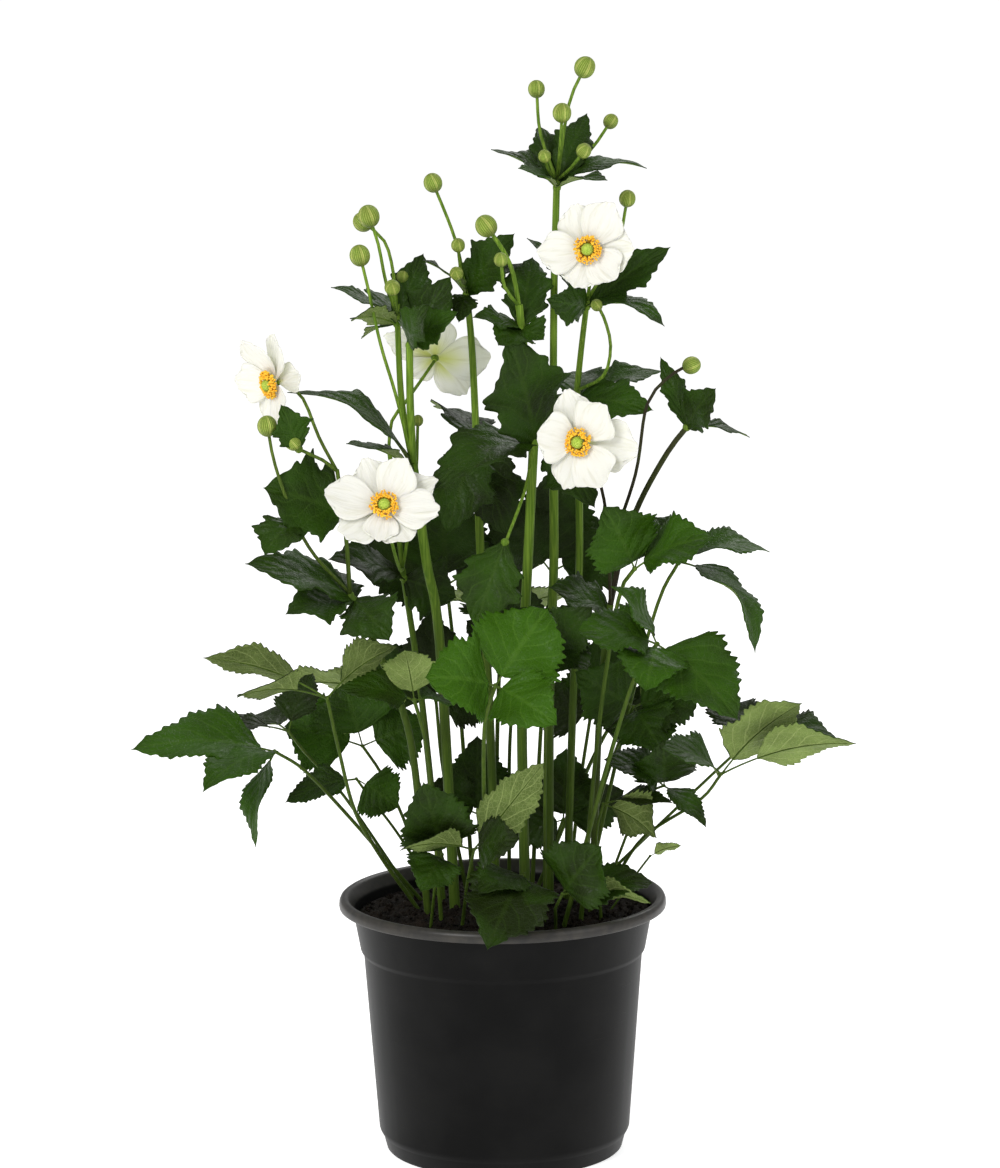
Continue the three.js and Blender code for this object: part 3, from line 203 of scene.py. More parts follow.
# Flowering stems: the main shoot's radius, root and points, then its side shoots and pedicels
# with the radius of the bud or the name of the bloom at their end, and the leafy bracts round
# each joint by their tip, width, facing and sometimes arch. Darkness runs from 0 to 1.
leafyStems = {
    "stem_tall": {
        "radius": 2.7, "root": (27, 8), "bright": 0.32, "dark": 0.1,
        "stalk": [(28, 5, 264), (31, 0, 346), (31, -4, 422)],
        "shoots": [
            {"radius": 2.2, "path": [(31, -4, 422), (32, -4, 500), (34, -4, 565)]},
            {"path": [(34, -4, 564), (41, -8, 607), (50, -12, 628)], "bud": 6},
            {"path": [(34, -4, 564), (25, 3, 590), (23, 6, 615)], "bud": 4.9},
            {"path": [(34, -4, 564), (36, -13, 585), (37, -18, 603)], "bud": 5.4},
            {"path": [(34, -4, 564), (53, 6, 580), (65, 12, 596)], "bud": 4.3},
            {"path": [(34, -4, 564), (42, -15, 572), (49, -22, 582)], "bud": 4.3},
            {"path": [(34, -4, 564), (29, -14, 571), (27, -20, 579)], "bud": 3.7},
        ],
        "whorls": [
            ((34, -4, 560), [
                ((-3, -6, 582), 23, up),
                ((12, -28, 573), 18, frontUp),
                ((24, 26, 593), 21, up),
                ((52, 26, 600), 21, front),
                ((85, 2, 570), 23, up, 0.16),
                ((62, -30, 566), 21, up),
            ]),
            ((31, -4, 417), [
                ((54, -40, 382), 35, (-0.2, -0.8, 0.6)),
            ]),
        ],
    },
    "stem_second": {
        "radius": 2.2, "root": (38, 24), "bright": 0.45, "dark": 0.1,
        "stalk": [(42, 20, 264), (46, 18, 346), (45, 16, 442)],
        "shoots": [
            {"radius": 1.8, "path": [(45, 16, 442), (48, 12, 470), (51, 6, 495)]},
            {"path": [(51, 6, 495), (53, -4, 511), (52, -14, 523)], "bloom": "bloom_top"},
            {"path": [(51, 6, 495), (68, 12, 524), (74, 2, 553)], "bud": 4.8},
            {"path": [(45, 16, 442), (60, 2, 452), (64, -4, 470), (60, -10, 487), (56, -12, 494)],
             "bud": 3.4},
        ],
        "whorls": [
            ((50.5, 7, 491), [
                ((17, 24, 529), 18, up),
                ((99, 16, 524), 25, front),
                ((27, -24, 499), 23, (0, -1, 0.1)),
                ((94, -24, 483), 25, up, 0.16),
            ]),
            ((45, 16, 437), [
                ((88, -14, 434), 30, front),
                ((96, 28, 451), 30, up),
                ((50, 66, 446), 38, back),
            ]),
        ],
    },
    "stem_right": {
        "radius": 2, "root": (52, -8), "bright": 0.2, "dark": 0.85,
        "stalk": [(57, -10, 266), (63, -12, 322)],
        "shoots": [
            {"radius": 1.7,
             "path": [(63, -12, 322), (70, -10, 353), (80, -12, 381), (96, -18, 411), (109, -20, 428)]},
            {"path": [(63, -12, 322), (62, -26, 355), (59, -40, 387), (52, -50, 412)],
             "bloom": "bloom_right"},
            {"path": [(62, -26, 355), (77, -32, 400), (84, -30, 440), (99, -28, 457), (109, -26, 461)],
             "bud": 5.1},
            {"path": [(109, -20, 428), (113, -25, 435), (116, -28, 440)], "bud": 2.6},
        ],
        "whorls": [
            ((106.5, -19.6, 425), [
                ((92, -8, 464), 14, front),
                ((122, -42, 450), 27, front),
                ((143, -6, 417), 16, up),
            ]),
            ((62.5, -12, 317), [
                ((28, -22, 334), 38, frontUp),
            ]),
        ],
    },
    "stem_centre": {
        "radius": 2.9, "root": (13, -16), "bright": 0.3, "dark": 0,
        "stalk": [(12, -16, 268), (16, -18, 349), (20, -20, 421)],
        "shoots": [
            {"radius": 2.4, "path": [(20, -20, 421), (16, -22, 459), (12, -24, 496)]},
            {"radius": 1.3, "path": [(12, -24, 495), (9, -26, 513), (4, -29, 526), (-6, -30, 541)],
             "bud": 6.2},
            {"path": [(12, -24, 495), (4, -33, 507), (2, -40, 523)], "bud": 4},
            {"path": [(13, -24, 486), (19, -16, 488), (23, -10, 495)], "bud": 3.4},
            {"path": [(20, -20, 421), (15, -36, 394), (3, -52, 364)]},
        ],
        "whorls": [
            ((13, -24, 482), [
                ((-14, -42, 491), 21, frontUp),
                ((0, -50, 476), 28, front),
                ((26, -42, 478), 21, front),
                ((20, 6, 520), 28, front),
            ]),
            ((20, -20, 416), [
                ((5, -46, 482), 49, (0.3, -0.9, 0.2)),
                ((-39, -66, 396), 40, frontUp, 0.16),
            ]),
            ((3, -52, 365), [
                ((-14, -62, 318), 38, front),
            ]),
        ],
    },
    "stem_back": {
        "radius": 2.5, "root": (-4, 16), "bright": 0.2, "dark": 0.1,
        "stalk": [(-7, 14, 262), (-11, 12, 345), (-13, 10, 420)],
        "shoots": [
            {"radius": 2.1, "path": [(-13, 10, 420), (-15, 6, 470), (-18, 4, 504)]},
            {"path": [(-18, 4, 503), (-24, 4, 531), (-36, 0, 563)], "bud": 5.4},
            {"path": [(-18, 4, 503), (-21, -8, 516), (-22, -16, 529)], "bud": 4},
            {"path": [(-18, 4, 503), (-21, -14, 507), (-23, -25, 514)], "bud": 3.9},
        ],
        "whorls": [
            ((-17.7, 4.2, 499), [
                ((10, -10, 535), 30, front),
                ((18, 10, 516), 16, up),
                ((-42, -12, 520), 21, up),
                ((2, 34, 508), 23, back),
                ((-22, -24, 486), 16, front),
            ]),
            ((-13, 10, 414), [
                ((-30, -18, 364), 38, front),
                ((4, -2, 360), 38, front),
                ((-32, 62, 426), 38, back),
            ]),
        ],
    },
    "stem_fork": {
        "radius": 2.9, "root": (-28, -8), "bright": 0.38, "dark": 0,
        "stalk": [(-35, -6, 301), (-42, -10, 348), (-49, -13, 405)],
        "shoots": [
            {"radius": 2.3, "path": [(-49, -13, 405), (-50, -18, 440), (-50, -20, 474)]},
            {"radius": 1.9, "path": [(-49, -13, 405), (-55, -10, 440), (-57, -10, 490)]},
            {"path": [(-57, -10, 489), (-63, -13, 508), (-67, -16, 530), (-72, -18, 546)], "bud": 6.2},
            {"path": [(-57, -10, 489), (-59, -2, 512), (-64, 2, 530), (-76, 2, 541)], "bud": 5.6},
            {"path": [(-49, -13, 405), (-58, -22, 445), (-66, -27, 474), (-73, -30, 508), (-77, -30, 525)],
             "bud": 5.9},
            {"path": [(-57, -10, 489), (-58, -23, 498), (-59, -32, 507)], "bud": 4.5},
            {"path": [(-57, -10, 489), (-55, -4, 500), (-54, 2, 509)], "bud": 4},
        ],
        "whorls": [
            ((-57, -10, 484), [
                ((-94, -18, 506), 23, up),
                ((-82, -42, 490), 23, under),
                ((-78, 6, 474), 16, up),
                ((-42, 12, 522), 23, front),
                ((-72, 34, 498), 25, back),
            ]),
            ((-50, -20, 473), [
                ((-22, -38, 494), 23, front),
                ((-26, -18, 512), 28, front),
                ((-38, -54, 500), 23, front),
            ]),
            ((-48.4, -12.7, 400), [
                ((-119, -30, 448), 32, up, 0.16),
                ((-86, -40, 420), 27, up),
            ]),
        ],
    },
    "stem_behind": {
        "radius": 1.9, "root": (-36, 18), "bright": 0.15, "dark": 0.05,
        "stalk": [(-46, 12, 264), (-56, 8, 340)],
        "shoots": [
            {"radius": 1.5, "path": [(-56, 8, 340), (-60, 10, 380), (-63, 6, 412)]},
            {"path": [(-63, 6, 411), (-61, 3, 427), (-53, 2, 438), (-44, 6, 450)],
             "bloom": "bloom_back"},
            {"path": [(-56, 8, 340), (-48, -2, 390), (-46, -4, 428)], "bud": 3.2},
            {"path": [(-56, 8, 340), (-57, -20, 345), (-60, -44, 361)], "bloom": "bloom_front"},
        ],
        "whorls": [
            ((-55.4, 8, 335), [
                ((-98, -14, 350), 38, frontUp),
                ((-25, 4, 324), 35, (0, -1, 0.2)),
            ]),
        ],
    },
    "stem_left": {
        "radius": 2.1, "root": (-44, -14), "bright": 0.35, "dark": 0.4,
        "stalk": [(-52, -22, 246), (-70, -30, 300), (-85, -36, 334)],
        "shoots": [
            {"radius": 1.3, "path": [(-85, -36, 334), (-87, -40, 371), (-91, -44, 406)]},
            {"path": [(-91, -44, 405), (-101, -42, 424), (-110, -34, 445)], "bloom": "bloom_left"},
            {"path": [(-85, -36, 334), (-104, -50, 358), (-115, -56, 380), (-125, -60, 411),
                      (-129, -60, 433)],
             "bud": 5.7},
            {"path": [(-91, -44, 405), (-99, -48, 412), (-112, -53, 419), (-115, -56, 423)],
             "bud": 4.5},
        ],
        "whorls": [
            ((-112, -53, 419), [
                ((-121, -66, 446), 22, front),
            ]),
            ((-88, -41, 380), [
                ((-132, -58, 398), 54, front),
            ]),
            ((-115, -56, 379), [
                ((-131, -78, 363), 30, frontUp),
            ]),
            ((-83, -35, 330), [
                ((-143, -58, 355), 38, frontUp),
                ((-121, -52, 325), 35, frontUp),
                ((-62, -68, 312), 35, front),
                ((-114, 16, 340), 35, back),
            ]),
        ],
    },
}

# Blooms: the disc's middle, the way that it looks, and each petal's turn from the right-hand
# side in degrees, length, width and lean forward in degrees
blooms = {
    "bloom_top": {
        "centre": (51, -26, 527), "axis": (-0.12, -0.97, 0.1),
        "petals": [(107, 28, 26, 12), (62, 32, 26, 8), (2, 28, 28, 14),
                   (314, 25, 25, 10), (252, 24, 27, 14), (186, 30, 25, 8)],
    },
    "bloom_right": {
        "centre": (45, -62, 423), "axis": (-0.28, -0.95, 0.05),
        "petals": [(103, 32, 22, 10), (52, 30, 28, 12), (356, 36, 30, 6),
                   (303, 31, 29, 12), (254, 29, 22, 12), (170, 25, 30, 13)],
    },
    "bloom_front": {
        "centre": (-64, -74, 389), "axis": (0, -0.9, 0.43),
        "petals": [(112, 31, 25, 12), (66, 31, 24, 12), (28, 34, 22, 4), (352, 34, 24, 10),
                   (306, 26, 26, 10), (262, 22, 20, 2), (214, 31, 27, 10), (168, 36, 26, 8)],
    },
    "bloom_left": {
        "centre": (-126, -34, 454), "axis": (-0.8, -0.56, -0.2),
        "petals": [(104, 33, 26, 26), (66, 35, 18, -2), (14, 24, 18, -6),
                   (300, 24, 24, 14), (252, 28, 24, 14), (180, 30, 24, 12)],
    },
    "bloom_back": {
        "centre": (-36, 19, 462), "axis": (0.1, 0.92, 0.36),
        "petals": [(94, 27, 25, 8), (18, 33, 20, 6), (318, 22, 18, 8),
                   (240, 33, 22, 2), (184, 33, 30, 6)],
    },
}


# Shader helpers
def addNode(tree, kind, settings=None):
    node = tree.nodes.new(kind)
    for name, value in (settings or {}).items():
        setattr(node, name, value)
    return node


def mathNode(tree, operation, first, second=None, third=None):
    node = addNode(tree, "ShaderNodeMath", {"operation": operation})
    for socket, value in zip(node.inputs, (first, second, third)):
        if isinstance(value, bpy.types.NodeSocket):
            tree.links.new(value, socket)
        elif value is not None:
            socket.default_value = value
    return node.outputs[0]


def smoothRange(tree, value, low, high, outLow=0.0, outHigh=1.0):
    node = addNode(tree, "ShaderNodeMapRange", {"interpolation_type": "SMOOTHSTEP"})
    node.inputs["From Min"].default_value = low
    node.inputs["From Max"].default_value = high
    node.inputs["To Min"].default_value = outLow
    node.inputs["To Max"].default_value = outHigh
    tree.links.new(value, node.inputs["Value"])
    return node.outputs["Result"]


def mixColors(tree, factor, first, second):
    node = addNode(tree, "ShaderNodeMix", {"data_type": "RGBA"})
    sockets = (node.inputs["Factor"], node.inputs[6], node.inputs[7])
    for socket, value in zip(sockets, (factor, first, second)):
        if isinstance(value, bpy.types.NodeSocket):
            tree.links.new(value, socket)
        elif socket.type == "RGBA":
            socket.default_value = (*value, 1)
        else:
            socket.default_value = value
    return node.outputs[2]


def noiseAt(tree, vector, scale, detail=3.0, roughness=0.55):
    node = addNode(tree, "ShaderNodeTexNoise")
    node.inputs["Scale"].default_value = scale
    node.inputs["Detail"].default_value = detail
    node.inputs["Roughness"].default_value = roughness
    tree.links.new(vector, node.inputs["Vector"])
    return node.outputs["Fac"]


# A mask's share of a tint, laid over a colour
def tinted(tree, color, tint, mask, share):
    return mixColors(tree, mathNode(tree, "MULTIPLY", mask, share), color, tint)


def stretchedNoise(tree, vector, stretch, *settings):
    mapping = addNode(tree, "ShaderNodeMapping")
    mapping.inputs["Scale"].default_value = stretch
    tree.links.new(vector, mapping.inputs["Vector"])
    return noiseAt(tree, mapping.outputs["Vector"], *settings)


def splitAxes(tree, vector):
    split = addNode(tree, "ShaderNodeSeparateXYZ")
    tree.links.new(vector, split.inputs[0])
    return split.outputs


def newMaterial(name):
    material = bpy.data.materials.new(name)
    material.use_nodes = True
    tree = material.node_tree
    shader = tree.nodes["Principled BSDF"]
    return material, tree, shader


def objectCoordinates(tree):
    return addNode(tree, "ShaderNodeTexCoord").outputs["Object"]


def grainOf(tree):
    node = addNode(tree, "ShaderNodeAttribute", {"attribute_name": "grain"})
    return node.outputs["Vector"]


def bumped(tree, shader, height, strength, distance):
    node = addNode(tree, "ShaderNodeBump")
    node.inputs["Strength"].default_value = strength
    node.inputs["Distance"].default_value = distance
    tree.links.new(height, node.inputs["Height"])
    tree.links.new(node.outputs["Normal"], shader.inputs["Normal"])


# What every finish but the pot's ends with: its colour, gloss and relief
def dressSkin(tree, shader, finish, color, glossMask, height):
    tree.links.new(color, shader.inputs["Base Color"])
    rough = smoothRange(tree, glossMask, 0, 1, *finish["rough"])
    tree.links.new(rough, shader.inputs["Roughness"])
    shader.inputs["Specular IOR Level"].default_value = finish["specular"]
    shader.inputs["Sheen Weight"].default_value = finish["sheen"]
    bumped(tree, shader, height, *finish["bump"])


def openGroup(name, inputs, outputs):
    group = bpy.data.node_groups.new(name, "ShaderNodeTree")
    for socketName, kind in inputs:
        group.interface.new_socket(name=socketName, in_out="INPUT", socket_type=kind)
    for socketName in outputs:
        group.interface.new_socket(name=socketName, in_out="OUTPUT", socket_type="NodeSocketFloat")
    return group, group.nodes.new("NodeGroupInput"), group.nodes.new("NodeGroupOutput")


def placeGroup(tree, group, links, values=None):
    node = addNode(tree, "ShaderNodeGroup", {"node_tree": group})
    for name, socket in links.items():
        tree.links.new(socket, node.inputs[name])
    for name, value in (values or {}).items():
        node.inputs[name].default_value = value
    return node


# Patches that break up a colour, coarse and fine
def makeMottleGroup():
    inputs = [("Place", "NodeSocketVector"), ("Scale", "NodeSocketFloat")]
    group, entry, result = openGroup("mottle", inputs, ["Coarse", "Fine"])
    for name, factor in (("Coarse", 1.0), ("Fine", 7.0)):
        texture = addNode(group, "ShaderNodeTexNoise")
        texture.inputs["Detail"].default_value = 4
        scaled = mathNode(group, "MULTIPLY", entry.outputs["Scale"], factor)
        group.links.new(scaled, texture.inputs["Scale"])
        group.links.new(entry.outputs["Place"], texture.inputs["Vector"])
        group.links.new(smoothRange(group, texture.outputs["Fac"], 0.3, 0.7), result.inputs[name])
    return group


# Midrib, side veins that slant forwards from it, and the fine net between them
def makeVeinGroup():
    inputs = [
        ("Grain", "NodeSocketVector"),
        ("Place", "NodeSocketVector"),
        ("Side Veins", "NodeSocketFloat"),
        ("Slant", "NodeSocketFloat"),
    ]
    group, entry, result = openGroup("leaf_veins", inputs, ["Line", "Net", "Relief"])
    parts = splitAxes(group, entry.outputs["Grain"])
    offRib = mathNode(group, "ABSOLUTE", parts["X"])
    climb = mathNode(group, "MULTIPLY", parts["Y"], entry.outputs["Side Veins"])
    slanted = mathNode(group, "MULTIPLY", offRib, entry.outputs["Slant"])
    step = mathNode(group, "FRACT", mathNode(group, "SUBTRACT", climb, slanted))
    fromMiddle = mathNode(group, "ABSOLUTE", mathNode(group, "SUBTRACT", step, 0.5))
    sideVein = smoothRange(group, fromMiddle, 0.41, 0.49)
    fading = smoothRange(group, offRib, 0.55, 1.0, 1.0, 0.25)
    sideVein = mathNode(group, "MULTIPLY", sideVein, fading)
    midrib = smoothRange(group, offRib, 0.02, 0.09, 1.0, 0.0)
    group.links.new(mathNode(group, "MAXIMUM", midrib, sideVein), result.inputs["Line"])
    cells = addNode(group, "ShaderNodeTexVoronoi", {"feature": "DISTANCE_TO_EDGE"})
    cells.inputs["Scale"].default_value = 420
    group.links.new(entry.outputs["Place"], cells.inputs["Vector"])
    net = smoothRange(group, cells.outputs["Distance"], 0.0, 0.16, 1.0, 0.0)
    group.links.new(net, result.inputs["Net"])
    pillow = smoothRange(group, fromMiddle, 0.0, 0.5, 1.0, 0.0)
    softNet = mathNode(group, "MULTIPLY", net, -0.35)
    relief = mathNode(group, "ADD", mathNode(group, "MULTIPLY", pillow, 0.8), softNet)
    group.links.new(relief, result.inputs["Relief"])
    return group


mottleGroup = makeMottleGroup()
veinGroup = makeVeinGroup()


def mottleAt(tree, place, scale):
    return placeGroup(tree, mottleGroup, {"Place": place}, {"Scale": scale}).outputs


# Finishes. Rough is the range that the roughness runs over, and bump is strength and depth.
leafVeins = {"Side Veins": 5.0, "Slant": 2.2}
leafUpperFinish = {
    "dark": (0.0100, 0.0180, 0.0020),
    "fresh": (0.031, 0.095, 0.0014),
    "veinDark": (0.018, 0.032, 0.004),
    "veinFresh": (0.060, 0.145, 0.010),
    "veinShare": 0.6,
    "netShare": 0.22,
    "mottleScale": 45.0,
    "patchiness": 0.4,
    "rough": (0.38, 0.56),
    "specular": 0.13,
    "sheen": 0,
    "bump": (0.7, 0.0007),
    "veinsStandOut": False,
}
leafUnderFinish = {
    "dark": (0.098, 0.142, 0.034),
    "fresh": (0.235, 0.325, 0.085),
    "veinDark": (0.29, 0.36, 0.12),
    "veinFresh": (0.29, 0.36, 0.12),
    "veinShare": 0.7,
    "netShare": 0.3,
    "mottleScale": 60.0,
    "patchiness": 0.5,
    "rough": (0.6, 0.8),
    "specular": 0.12,
    "sheen": 0,
    "bump": (0.6, 0.0005),
    "veinsStandOut": True,
}


def makeLeafSkin(name, finish):
    material, tree, shader = newMaterial(name)
    place, grain = objectCoordinates(tree), grainOf(tree)
    parts = splitAxes(tree, grain)
    veins = placeGroup(tree, veinGroup, {"Grain": grain, "Place": place}, leafVeins).outputs
    mottle = mottleAt(tree, place, finish["mottleScale"])
    patches = mathNode(tree, "SUBTRACT", mottle["Coarse"], 0.5)
    bright = mathNode(tree, "MULTIPLY_ADD", patches, finish["patchiness"], parts["Z"])
    color = mixColors(tree, bright, finish["dark"], finish["fresh"])
    veinColor = mixColors(tree, parts["Z"], finish["veinDark"], finish["veinFresh"])
    color = tinted(tree, color, veinColor, veins["Line"], finish["veinShare"])
    color = tinted(tree, color, veinColor, veins["Net"], finish["netShare"])
    height = veins["Relief"]
    if finish["veinsStandOut"]:
        height = mathNode(tree, "ADD", veins["Line"], veins["Net"])
    dressSkin(tree, shader, finish, color, mottle["Fine"], height)
    return material


stemFinish = {
    "fresh": (0.095, 0.190, 0.012),
    "pale": (0.21, 0.34, 0.035),
    # painted shade: the darker green low on the stems, under the leaves
    "shadedGreen": (0.030, 0.060, 0.004),
    "dark": (0.022, 0.018, 0.008),
    "shadeBelow": 0.24,
    "shadeEndsAbove": 0.45,
    "shadeShare": 0.75,
    "streaks": (900, 900, 26),
    "mottleScale": 30.0,
    "rough": (0.45, 0.65),
    "specular": 0.12,
    "sheen": 0.03,
    "bump": (0.5, 0.0003),
}


def makeStemSkin():
    material, tree, shader = newMaterial("stem_skin")
    place = objectCoordinates(tree)
    dark = splitAxes(tree, grainOf(tree))["Z"]
    lines = stretchedNoise(tree, place, stemFinish["streaks"], 1.0, 2.0)
    mottle = mottleAt(tree, place, stemFinish["mottleScale"])
    color = mixColors(tree, smoothRange(tree, lines, 0.35, 0.7), stemFinish["fresh"], stemFinish["pale"])
    # Painted shade: stems and stalks turn darker green below 0.24 m, fading out by 0.45 m
    shadeHeights = (stemFinish["shadeBelow"], stemFinish["shadeEndsAbove"], stemFinish["shadeShare"], 0.0)
    paintedShade = smoothRange(tree, splitAxes(tree, place)["Z"], *shadeHeights)
    color = mixColors(tree, paintedShade, color, stemFinish["shadedGreen"])
    darkness = mathNode(tree, "MULTIPLY_ADD", mottle["Coarse"], 0.2, dark)
    color = mixColors(tree, darkness, color, stemFinish["dark"])
    dressSkin(tree, shader, stemFinish, color, lines, lines)
    return material


budFinish = {
    "ground": (0.15, 0.25, 0.016),
    "edge": (0.55, 0.64, 0.15),
    # dark green for the fine mottle, and painted shade on the bud's lower half
    "shadeAndMottleGreen": (0.065, 0.115, 0.008),
    "blush": (0.15, 0.085, 0.025),
    "sepals": 5,
    "mottleScale": 200.0,
    "rough": (0.5, 0.7),
    "specular": 0.25,
    "sheen": 0.02,
    "bump": (0.5, 0.0006),
}


def makeBudSkin():
    material, tree, shader = newMaterial("bud_skin")
    place = objectCoordinates(tree)
    parts = splitAxes(tree, grainOf(tree))
    turn = mathNode(tree, "ARCTAN2", parts["Y"], parts["X"])
    step = mathNode(tree, "MULTIPLY", turn, budFinish["sepals"] / 2)
    ridge = mathNode(tree, "ABSOLUTE", mathNode(tree, "SINE", step))
    streakStep = mathNode(tree, "MULTIPLY", turn, budFinish["sepals"] * 3)
    streak = mathNode(tree, "ABSOLUTE", mathNode(tree, "SINE", streakStep))
    edge = smoothRange(tree, ridge, 0.08, 0.5, 1.0, 0.0)
    color = tinted(tree, budFinish["ground"], budFinish["edge"], edge, 0.8)
    seam = smoothRange(tree, ridge, 0.0, 0.1, 0.7, 0.0)
    color = mixColors(tree, seam, color, budFinish["blush"])
    color = tinted(tree, color, budFinish["edge"], smoothRange(tree, streak, 0.5, 1.0), 0.45)
    # Painted shade: the bud darkens towards its stalk end
    paintedShadeBelow = smoothRange(tree, parts["Z"], -1.0, 0.1, 0.75, 0.0)
    color = mixColors(tree, paintedShadeBelow, color, budFinish["shadeAndMottleGreen"])
    mottle = mottleAt(tree, place, budFinish["mottleScale"])
    color = tinted(tree, color, budFinish["shadeAndMottleGreen"], mottle["Fine"], 0.3)
    color = tinted(tree, color, budFinish["blush"], mottle["Coarse"], 0.2)
    dressSkin(tree, shader, budFinish, color, mottle["Fine"], mathNode(tree, "ADD", ridge, streak))
    return material


petalFinish = {
    "white": (0.765, 0.76, 0.685),
    # painted shade: darker cream for the creases
    "creaseShade": (0.60, 0.59, 0.46),
    "heart": (0.58, 0.63, 0.25),
    "backWhite": (0.85, 0.86, 0.75),
    "backHeart": (0.56, 0.63, 0.10),
    "heartReach": 0.34,
    "backHeartReach": 0.75,
    "creaseFan": (4.5, 1.2, 4),
    "rough": (0.45, 0.62),
    "specular": 0.3,
    "sheen": 0.15,
    "bump": (0.5, 0.0012),
    "subsurface": {"Weight": 0.25, "Radius": (0.004, 0.004, 0.003), "Scale": 0.5},
}


def makePetalSkin(name, ground, heart, heartReach):
    material, tree, shader = newMaterial(name)
    grain = grainOf(tree)
    parts = splitAxes(tree, grain)
    creases = stretchedNoise(tree, grain, petalFinish["creaseFan"], 1.6, 3.0, 0.5)
    # Painted shade: darker cream laid along the noise creases that also make the bump
    color = tinted(tree, ground, petalFinish["creaseShade"], smoothRange(tree, creases, 0.48, 0.72), 0.45)
    offMiddle = mathNode(tree, "ABSOLUTE", parts["X"])
    starred = mathNode(tree, "MULTIPLY_ADD", offMiddle, 0.3, parts["Y"])
    nearHeart = smoothRange(tree, starred, 0.1, heartReach, 0.9, 0.0)
    color = mixColors(tree, nearHeart, color, heart)
    for part, value in petalFinish["subsurface"].items():
        shader.inputs["Subsurface " + part].default_value = value
    dressSkin(tree, shader, petalFinish, color, creases, creases)
    return material


powder = {"rough": (0.6, 0.85), "specular": 0.5, "sheen": 0, "bump": (0.4, 0.0003)}
stamenFinish = {**powder, "ground": (0.93, 0.42, 0.008), "tips": (0.98, 0.66, 0.045), "scale": 700.0}
carpelFinish = {**powder, "ground": (0.33, 0.50, 0.03), "tips": (0.60, 0.72, 0.12), "scale": 900.0}


def makePowder(name, finish):
    material, tree, shader = newMaterial(name)
    mottle = mottleAt(tree, objectCoordinates(tree), finish["scale"])
    color = mixColors(tree, mottle["Coarse"], finish["ground"], finish["tips"])
    dressSkin(tree, shader, finish, color, mottle["Fine"], mottle["Fine"])
    return material


potFinish = {
    "black": (0.0040, 0.0040, 0.0039),
    "grey": (0.0070, 0.0069, 0.0067),
    "rimGrey": (0.030, 0.029, 0.027),
    "dust": (0.13, 0.11, 0.085),
    "rimFrom": 0.143,
    "rimWear": 0.35,
    "wallWear": 0.03,
    "rimDust": 0.16,
    "mottleScale": 24.0,
    "flowLines": (90, 90, 4),
    "scuffs": (60, 60, 700),
    "smoothest": 0.36,
    "specular": 0.06,
    "coat": 0.3,
    "bump": (0.16, 0.0004),
}


def makePotPlastic():
    material, tree, shader = newMaterial("pot_plastic")
    place = objectCoordinates(tree)
    mottle = mottleAt(tree, place, potFinish["mottleScale"])
    flowLines = stretchedNoise(tree, place, potFinish["flowLines"], 1.0, 3.0)
    scuffs = smoothRange(tree, stretchedNoise(tree, place, potFinish["scuffs"], 1.0, 5.0, 0.7), 0.6, 0.78)
    rimFrom = potFinish["rimFrom"]
    onRim = smoothRange(tree, splitAxes(tree, place)["Z"], rimFrom - 0.001, rimFrom + 0.001)
    color = mixColors(tree, mottle["Coarse"], potFinish["black"], potFinish["grey"])
    color = mixColors(tree, onRim, color, potFinish["rimGrey"])
    wearShare = mathNode(tree, "MULTIPLY_ADD", onRim, potFinish["rimWear"], potFinish["wallWear"])
    wear = mathNode(tree, "MULTIPLY", scuffs, wearShare)
    color = mixColors(tree, wear, color, potFinish["dust"])
    dustyRim = mathNode(tree, "MULTIPLY", onRim, mottle["Fine"])
    color = tinted(tree, color, potFinish["dust"], dustyRim, potFinish["rimDust"])
    tree.links.new(color, shader.inputs["Base Color"])
    rough = mathNode(tree, "MULTIPLY_ADD", flowLines, 0.1, potFinish["smoothest"])
    rough = mathNode(tree, "MULTIPLY_ADD", wear, 0.4, rough)
    tree.links.new(rough, shader.inputs["Roughness"])
    shader.inputs["Specular IOR Level"].default_value = potFinish["specular"]
    coat = mathNode(tree, "MULTIPLY", onRim, potFinish["coat"])
    tree.links.new(coat, shader.inputs["Coat Weight"])
    shader.inputs["Coat Roughness"].default_value = 0.3
    height = mathNode(tree, "MULTIPLY_ADD", flowLines, 0.5, scuffs)
    bumped(tree, shader, height, *potFinish["bump"])
    return material


soilFinish = {
    "dark": (0.004, 0.003, 0.002),
    "brown": (0.017, 0.011, 0.007),
    "straw": (0.10, 0.07, 0.04),
    "strawShare": 0.6,
    "mottleScale": 110.0,
    "speckScale": 900,
    "rough": (0.75, 1.0),
    "specular": 0.15,
    "sheen": 0,
    "bump": (0.9, 0.001),
}


def makeSoilSkin():
    material, tree, shader = newMaterial("soil_crumb")
    place = objectCoordinates(tree)
    mottle = mottleAt(tree, place, soilFinish["mottleScale"])
    color = mixColors(tree, mottle["Coarse"], soilFinish["dark"], soilFinish["brown"])
    specks = smoothRange(tree, noiseAt(tree, place, soilFinish["speckScale"], 2.0), 0.66, 0.74)
    color = tinted(tree, color, soilFinish["straw"], specks, soilFinish["strawShare"])
    dressSkin(tree, shader, soilFinish, color, mottle["Fine"], mottle["Fine"])
    return material


leafUpper = makeLeafSkin("leaf_upper", leafUpperFinish)
leafUnder = makeLeafSkin("leaf_under", leafUnderFinish)
stemSkin = makeStemSkin()
budSkin = makeBudSkin()
petalFace = makePetalSkin("petal_face", petalFinish["white"], petalFinish["heart"], petalFinish["heartReach"])
petalBack = makePetalSkin("petal_back", petalFinish["backWhite"], petalFinish["backHeart"],
                          petalFinish["backHeartReach"])
stamenGold = makePowder("stamen_gold", stamenFinish)
carpelGreen = makePowder("carpel_green", carpelFinish)
potPlastic = makePotPlastic()
soilSkin = makeSoilSkin()
print("materials made")


